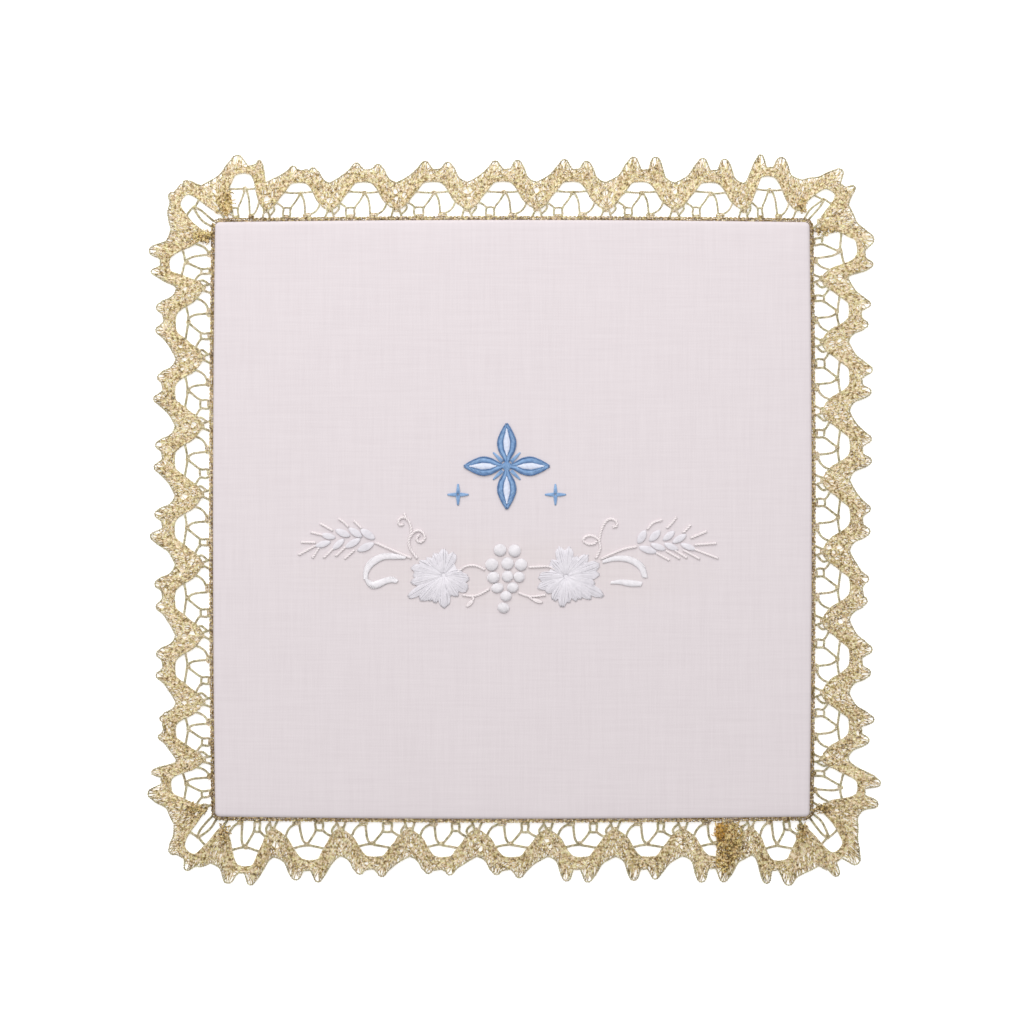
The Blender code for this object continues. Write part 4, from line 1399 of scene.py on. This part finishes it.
twigs = [
    [(-14.8, -14.2), (-12.6, -12.6), (-10.4, -12.3), (-8.9, -12.7), (-7.4, -13.5)],
    [(-13.4, -20.2), (-10.6, -20.5), (-8.5, -19.9), (-6.2, -18.6)],
    [(-10.9, -20.5), (-10.4, -21.2), (-10.6, -21.7)],
    [(4.3, -12.8), (8.1, -12.6), (10.0, -12.7), (11.2, -13.5)],
    [(1.6, -19.6), (4.7, -20.6), (8.8, -20.2)],
    [(4.4, -20.6), (5.0, -21.1), (5.4, -21.4)],
]
buds = [(-10.5, -21.6, -12.2, -23.3, 0.5), (5.3, -21.3, 8.0, -22.2, 0.5)]


def makeTendril(name):
    cords = []
    for points in tendrils[name]:
        cords += stemCord(points)
    return threadMesh("tendril" + name, cords, 0.22, stemThread, sides=6)


def makeTwigs():
    cords = []
    for points in twigs:
        cords += stemCord(points, 0.17)
    for footX, footY, tipX, tipY, half in buds:
        cords += spindle((footX, footY), (tipX, tipY), half, 0.3, 3)
    return threadMesh("twigs", cords, 0.2, stemThread, sides=6)


# The blue ornament: a cross of four pointed petals, rays between them and two small stars.
crossForm = {
    "middle": (-1.5, 14.2),
    "petal": [(1.0, 0.35), (2.2, 0.9), (4.2, 2.0), (6.6, 2.35), (9.2, 1.4), (11.4, 0.1)],
    "inlay": [(3.0, 0.15), (4.4, 0.8), (6.6, 1.05), (8.6, 0.55), (10.0, 0.08)],
    "ray": [(1.6, 0.5), (3.4, 0.35), (5.1, 0.08)],
    "starArm": [(0.2, 0.5), (1.0, 0.45), (2.8, 0.08)],
    "stars": {"Left": (-14.5, 6.6), "Right": (11.5, 6.6)},
}


def turnedPoint(middle, along, aside, direction):
    c, s = math.cos(direction), math.sin(direction)
    return (middle[0] + along * c - aside * s, middle[1] + along * s + aside * c)


def profileHalf(profile, along):
    return float(np.interp(along, [p[0] for p in profile], [p[1] for p in profile], left=0, right=0))


def petalRoutes(middle, direction):
    blue, white, outline = [], [], []
    petal, inlay = crossForm["petal"], crossForm["inlay"]
    along = petal[0][0]
    while along < petal[-1][0]:
        half = profileHalf(petal, along)
        hollow = profileHalf(inlay, along)
        for side in (-1, 1):
            if half - hollow > 0.25:
                start = turnedPoint(middle, along - 0.2, side * (hollow + 0.05), direction)
                end = turnedPoint(middle, along + 0.25, side * (half - 0.05), direction)
                blue.append(satinStitch(start, end, 0.32))
        if hollow > 0.1:
            start = turnedPoint(middle, along - 0.15, -hollow, direction)
            end = turnedPoint(middle, along + 0.15, hollow, direction)
            white.append(satinStitch(start, end, 0.42))
        along += stitchForm["spacing"]
    for profile in (petal, inlay):
        for side in (-1, 1):
            points = [turnedPoint(middle, place, side * half, direction) for place, half in profile]
            outline.append(points)
    return blue, white, outline


def spikeRoutes(middle, profile, direction):
    routes = []
    widest = max(half for _, half in profile)
    count = 3
    for index in range(count):
        share = -1 + 2 * index / (count - 1)
        points = [turnedPoint(middle, place, share * half * 0.7, direction) for place, half in profile]
        line = smoothRoute([(*point, 0.0) for point in points], 0.5)
        arch = np.sin(np.linspace(0.25, math.pi, len(line))) * (0.34 - 0.12 * abs(share))
        line[:, 2] = linenTop + stitchForm["foot"] + arch
        routes.append(line)
    return routes, widest


def makeCross():
    middle = crossForm["middle"]
    blue, white, cords = [], [], []
    for quarter in range(4):
        direction = math.radians(90 * quarter + 90)
        petalBlue, petalWhite, outline = petalRoutes(middle, direction)
        blue += petalBlue
        white += petalWhite
        for points in outline:
            cords += stemCord(points, 0.13, 1.0, 0.33)
        blue += spikeRoutes(middle, crossForm["ray"], direction + math.pi / 4)[0]
    knot = domeStitches(*middle, 1.15, 1.15, 0.6, 0.4, 0.34)
    satin = threadMesh("crossSatin", blue + knot, 0.165, blueThread, sides=6)
    rope = threadMesh("crossCords", cords, 0.15, deepBlueThread)
    pad = paddedDome("crossPad", *middle, 1.05, 1.05, 0.55, 0, blueThread)
    return joinPieces("crossMotif", [satin, rope, pad]), threadMesh("crossInlay", white, 0.17, inlayThread, sides=6)


def makeStar(name):
    middle = crossForm["stars"][name]
    routes = []
    for quarter in range(4):
        routes += spikeRoutes(middle, crossForm["starArm"], math.radians(90 * quarter + 90))[0]
    return threadMesh("star" + name, routes, 0.17, blueThread, sides=6)


def addStitched(piece, slotName, *nodes):
    if nodes:
        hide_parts(*nodes)
    embroidery.append(piece)


embroidery = []
addStitched(makeGrapes(), "white_thread", *[f"grape_{number:02d}" for number in range(1, 13)])
for name in ("Left", "Right"):
    lower = name.lower()
    addStitched(makeLeaf(name), "white_thread", "leaf_" + lower)
    addStitched(makeBlade(name), "white_thread", "blade_" + lower)
    addStitched(makeEar(name), "white_thread", "ear_" + lower)
    addStitched(makeTendril(name), "white_thread", "tendril_" + lower)
    addStitched(makeStar(name), "blue_thread", "star_" + lower)
addStitched(makeTwigs(), "white_thread")
cross, inlay = makeCross()
addStitched(cross, "blue_thread", "cross_motif")
addStitched(inlay, "white_thread")
print("embroidery made:", len(embroidery), "pieces")


# ---- the stitches that hold the lace to the linen's edge
sewing = {"step": 2.4, "radius": 0.09, "inside": -0.25, "outside": 0.75}


def makeSewing():
    luck = random.Random(17)
    routes = []
    count = int(perimeter / sewing["step"])
    for index in range(count):
        along = index * perimeter / count + luck.uniform(-0.3, 0.3)
        places = along + np.linspace(0, 0.7, 5)
        x, y = edgePoint(places, np.linspace(sewing["inside"], sewing["outside"], 5))
        z = np.array([1.95, 2.1, 2.0, 1.85, 1.45])
        routes.append(np.stack([x, y, z], axis=1))
    return threadMesh("sewingStitches", routes, sewing["radius"], sewingThread)


stitches = makeSewing()
print("sewing made")

for piece in [linen, stitches] + lacePieces + embroidery:
    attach(piece, "root")

for piece in [linen, stitches] + lacePieces + embroidery:
    print(piece.name, sum(len(face.vertices) - 2 for face in piece.data.polygons), "triangles")
